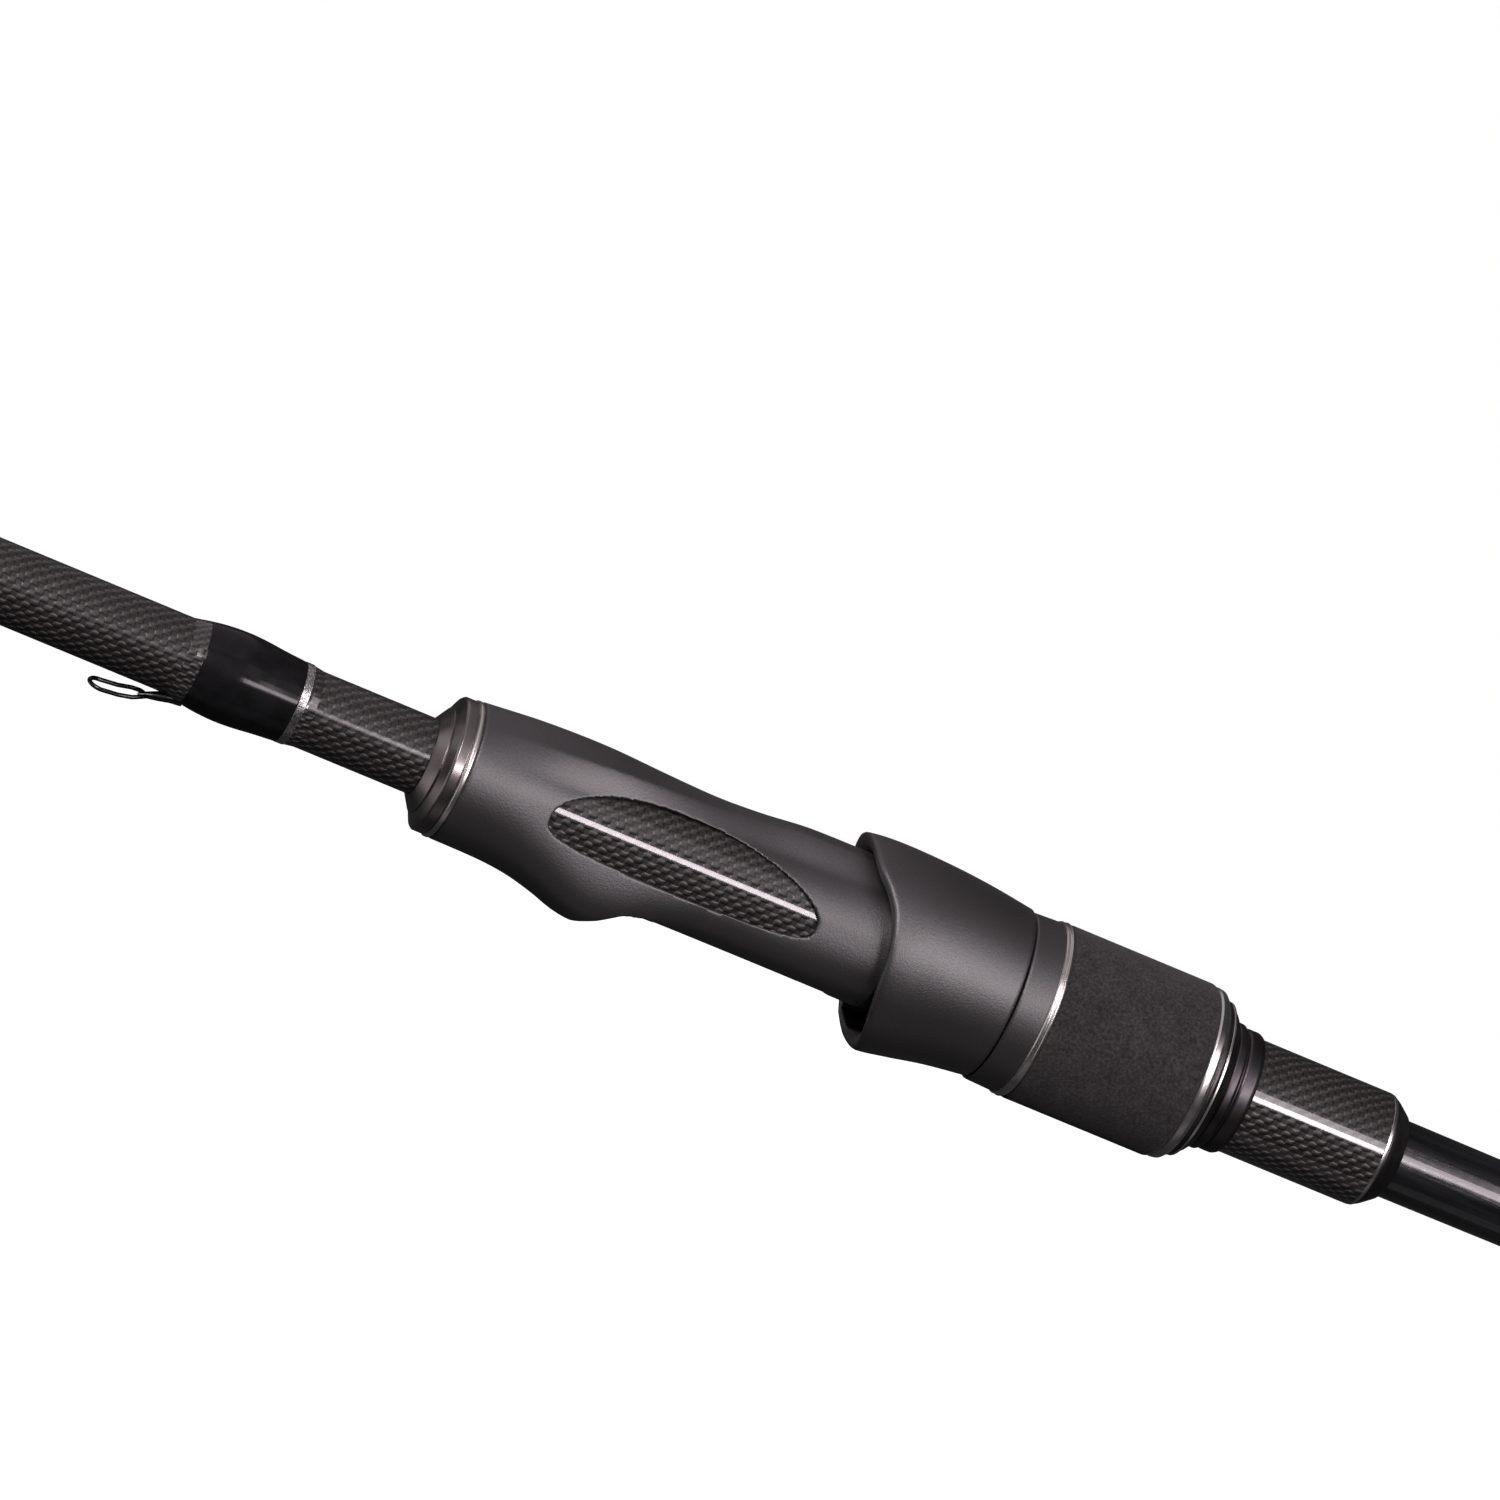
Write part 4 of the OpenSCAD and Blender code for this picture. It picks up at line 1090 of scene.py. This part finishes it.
def foot_mesh(x0, x1, half_w, thick, toward):
    """A foot ground to a taper away from its ring; toward is +1 or -1."""
    steps, across = 16, 9
    points = []
    for i in range(steps + 1):
        t = i / steps if toward > 0 else 1 - i / steps
        x = x0 + (x1 - x0) * i / steps
        r = blank_r(x)
        depth = thick * (1 - 0.8 * t ** 1.5)
        wide = half_w * (1 - 0.45 * t ** 3)
        row_in = [(x, wide * s, -math.sqrt(max(r * r - (wide * s) ** 2, r * r / 4)))
                  for s in (2 * k / (across - 1) - 1 for k in range(across))]
        row_out = [(px, py, pz - depth * (1 - 0.35 * abs(py / wide) ** 3))
                   for px, py, pz in reversed(row_in)]
        points += row_in + row_out
    count = 2 * across
    faces = skin(steps + 1, count)
    faces.append(tuple(range(count)))
    faces.append(tuple(reversed(range(steps * count, (steps + 1) * count))))
    piece = make_mesh("foot", points, faces, MATERIALS["guide_steel"])
    fix_normals(piece)
    smooth_look(piece)
    return piece


def leg(start, end, r0, r1, sag):
    """A leg that leaves the holder, bends and flattens into the foot."""
    start, end = Vector(start), Vector(end)
    share = Vector((0.65, 0.38, 0.55))     # how near the bend is to the foot, on each axis
    knee = start + (end - start) * share - Vector((0, 0, sag))
    radii = [r0 + (r1 - r0) * k / 12 for k in range(13)]
    return tube_mesh("leg", bend_points(start, knee, end, 12), radii, MATERIALS["guide_steel"], 16)


def guide_frame(i):
    """Hoop, legs and feet in one piece, and the wraps over the feet."""
    x, z = guide_place(i)
    big = i < BUTT_GUIDES
    inner = RING_RADII[i] + RING_WALL
    outer = inner + HOOP_WALL
    half_w, thick, leg_r = (1.6, 1.3, 0.55) if big else (1.15, 0.95, 0.4)
    hoop = lathe("hoop", [(-0.8, inner), (-0.8, outer - 0.2), (-0.5, outer), (0.5, outer),
                          (0.8, outer - 0.2), (0.8, inner)], MATERIALS["guide_steel"], 0.2, 72)
    hoop.data.transform(leaning(x, z))
    reach = 0.9 * RING_GAPS[i] + 3
    length = LONG_FOOT if big else SHORT_FOOT
    parts = [hoop, foot_mesh(x + reach, x + reach + length, half_w, thick, 1)]
    rim = inner + 0.65

    def on_rim(a):
        return (x - rim * math.cos(a) * math.sin(LEAN), rim * math.sin(a),
                z + rim * math.cos(a) * math.cos(LEAN))

    def in_foot(px, py):
        return (px, py, -blank_r(px) - thick / 2)

    for side in (-1, 1):
        parts.append(leg(on_rim(side * math.radians(58)),
                         in_foot(x + reach + LEG_IN_FOOT, side * 0.6), leg_r, leg_r * 0.9,
                         0.1))
    if big:
        parts.append(foot_mesh(x - reach - REAR_FOOT, x - reach, half_w, thick, -1))
        parts.append(leg(on_rim(0), in_foot(x - reach - LEG_IN_FOOT, 0), leg_r, leg_r * 0.9,
                         0.1))
    stand_for(joined(f"guide_frame_{i + 1}_look", parts), f"guide_frame_{i + 1}")
    ends = [(x + reach + WRAP_IN, x + reach + length + WRAP_PAST)]
    if big:
        ends.append((x - reach - REAR_FOOT - WRAP_PAST, x - reach - WRAP_IN))
    group = "butt_guide_wraps" if big else "tip_guide_wraps"
    for k, (x0, x1) in enumerate(ends):
        wrap_over(f"guide_wrap_{i + 1}_{k + 1}", group, x0, x1, thick + 0.3)


def tip_top():
    """The wrap behind the tip-top, whose frame and ring show as in the CAD."""
    wrap_over("tip_top_wrap_look", "tip_top_wrap", *span("tip_top_wrap"), 0.38)


def ferrule():
    wrap_over("ferrule_wrap_look", "ferrule_wrap", *span("ferrule_wrap"), 0.4)
    x0, x1 = span("ferrule_band")
    r = blank_r(x0)
    turned_piece("ferrule_band", [(x0, r), (x0, r + 0.35), (x1, r + 0.35), (x1, r)], 0.1,
                 material=MATERIALS["thread_silver"])


# ---------------------------------------------------------------- camera and light

VIEW_TURN = math.radians(12.8)     # the camera stands a little towards the butt
VIEW_ROLL = math.radians(22.64)    # the rod runs down to the right
VIEW_DISTANCE = 2.0588             # metres
SENSOR_WIDTH, LENS = 36, 336       # mm
SEAT_MIDDLE = Vector((0.27465, 0, 0.0193))


def camera():
    """Long lens at the photograph's angle, turned so that the rod runs down to the right."""
    data = bpy.data.cameras.new("camera")
    data.sensor_width, data.lens = SENSOR_WIDTH, LENS
    data.clip_start, data.clip_end = 0.05, 60
    piece = bpy.data.objects.new("camera", data)
    bpy.context.scene.collection.objects.link(piece)
    ahead = Vector((math.sin(VIEW_TURN), math.cos(VIEW_TURN), 0))
    level = Vector((math.cos(VIEW_TURN), -math.sin(VIEW_TURN), 0))
    right = level * math.cos(VIEW_ROLL) + Vector((0, 0, math.sin(VIEW_ROLL)))
    up = right.cross(ahead)
    rows = Matrix((right, up, -ahead)).transposed()
    piece.matrix_world = Matrix.Translation(SEAT_MIDDLE - ahead * VIEW_DISTANCE) @ rows.to_4x4()
    bpy.context.scene.camera = piece


LAMP_TINT = (1.0, 0.9, 0.95)


def softbox(name, x, elevation, distance, size, radiance, tilt=0.0, aim=None):
    """Rectangular light beside the rod at x metres, facing it; its long side runs along X."""
    data = bpy.data.lights.new(name, "AREA")
    data.shape = "RECTANGLE"
    data.size, data.size_y = size
    data.energy = radiance * math.pi * size[0] * size[1]
    data.color = LAMP_TINT
    piece = bpy.data.objects.new(name, data)
    bpy.context.scene.collection.objects.link(piece)
    rise = math.radians(elevation)
    place = Vector((x, -math.cos(rise) * distance, math.sin(rise) * distance))
    away = (place - Vector((x if aim is None else aim, 0, 0))).normalized()
    side = (Vector((1, 0, 0)) - away * away.x).normalized()
    rows = Matrix((side, away.cross(side), away)).transposed()
    turn = Matrix.Rotation(math.radians(tilt), 4, "Z")
    piece.matrix_world = Matrix.Translation(place) @ rows.to_4x4() @ turn


def lights():
    """A narrow key for the bright lines, broad glows either side, and weak fills."""
    softbox("key", 0.57, 5, 1.1, (0.26, 0.18), 20)
    softbox("glow_middle", 0.57, 34, 1.3, (0.2, 0.6), 0.7)
    softbox("glow_tip_side", 1.25, 30, 1.3, (0.9, 0.5), 4.4)
    softbox("glow_butt_side", -0.48, 30, 1.3, (0.76, 0.55), 13.5)
    softbox("upper_rear", -0.15, 98, 0.9, (1.14, 1.95), 0.42)
    softbox("front", 0.94, 12, 1.2, (0.6, 0.4), 5.5)
    softbox("below", 0.4, -76, 1.3, (1.8, 0.6), 0.12)
    softbox("butt_end", -1.3, 176, 0.15, (1.6, 1.6), 0.75, aim=0.25)


def world():
    """White to the camera, dim grey to everything the light reaches."""
    new = bpy.data.worlds.new("world")
    new.use_nodes = True
    bpy.context.scene.world = new
    tree = new.node_tree
    nodes, links = tree.nodes, tree.links
    nodes.clear()
    path = nodes.new("ShaderNodeLightPath")
    seen = nodes.new("ShaderNodeBackground")
    seen.inputs["Color"].default_value = (1, 1, 1, 1)
    seen.inputs["Strength"].default_value = 1.0
    ambient = nodes.new("ShaderNodeBackground")
    ambient.inputs["Color"].default_value = (0.96, 0.97, 1, 1)
    ambient.inputs["Strength"].default_value = 0.03
    mix = nodes.new("ShaderNodeMixShader")
    out = nodes.new("ShaderNodeOutputWorld")
    links.new(path.outputs["Is Camera Ray"], mix.inputs[0])
    links.new(ambient.outputs[0], mix.inputs[1])
    links.new(seen.outputs[0], mix.inputs[2])
    links.new(mix.outputs[0], out.inputs[0])
    bpy.context.scene.view_settings.view_transform = "Standard"


def floor():
    """Pale floor just under the lowest guide; it lights nothing."""
    low = cad_box[0].z / MM - 0.5
    reach = 12000
    piece = make_mesh("floor", [(-reach, -reach, low), (reach, -reach, low),
                                (reach, reach, low), (-reach, reach, low)],
                      [(0, 1, 2, 3)], stage_floor("floor"))
    piece.visible_glossy = False
    piece.visible_diffuse = False


for build in (camera, lights, world, floor, seat_body, moving_hood, winding_check, keeper_wrap,
              hood_collar, foregrip, nose, pipe_front, threaded_barrel, butt_cap, butt_grip,
              handle_tube, hook_keeper, butt_blank, tip_blank):
    build()
for guide in range(len(RING_RADII)):
    ring_insert(guide)
    guide_frame(guide)
ferrule()
tip_top()
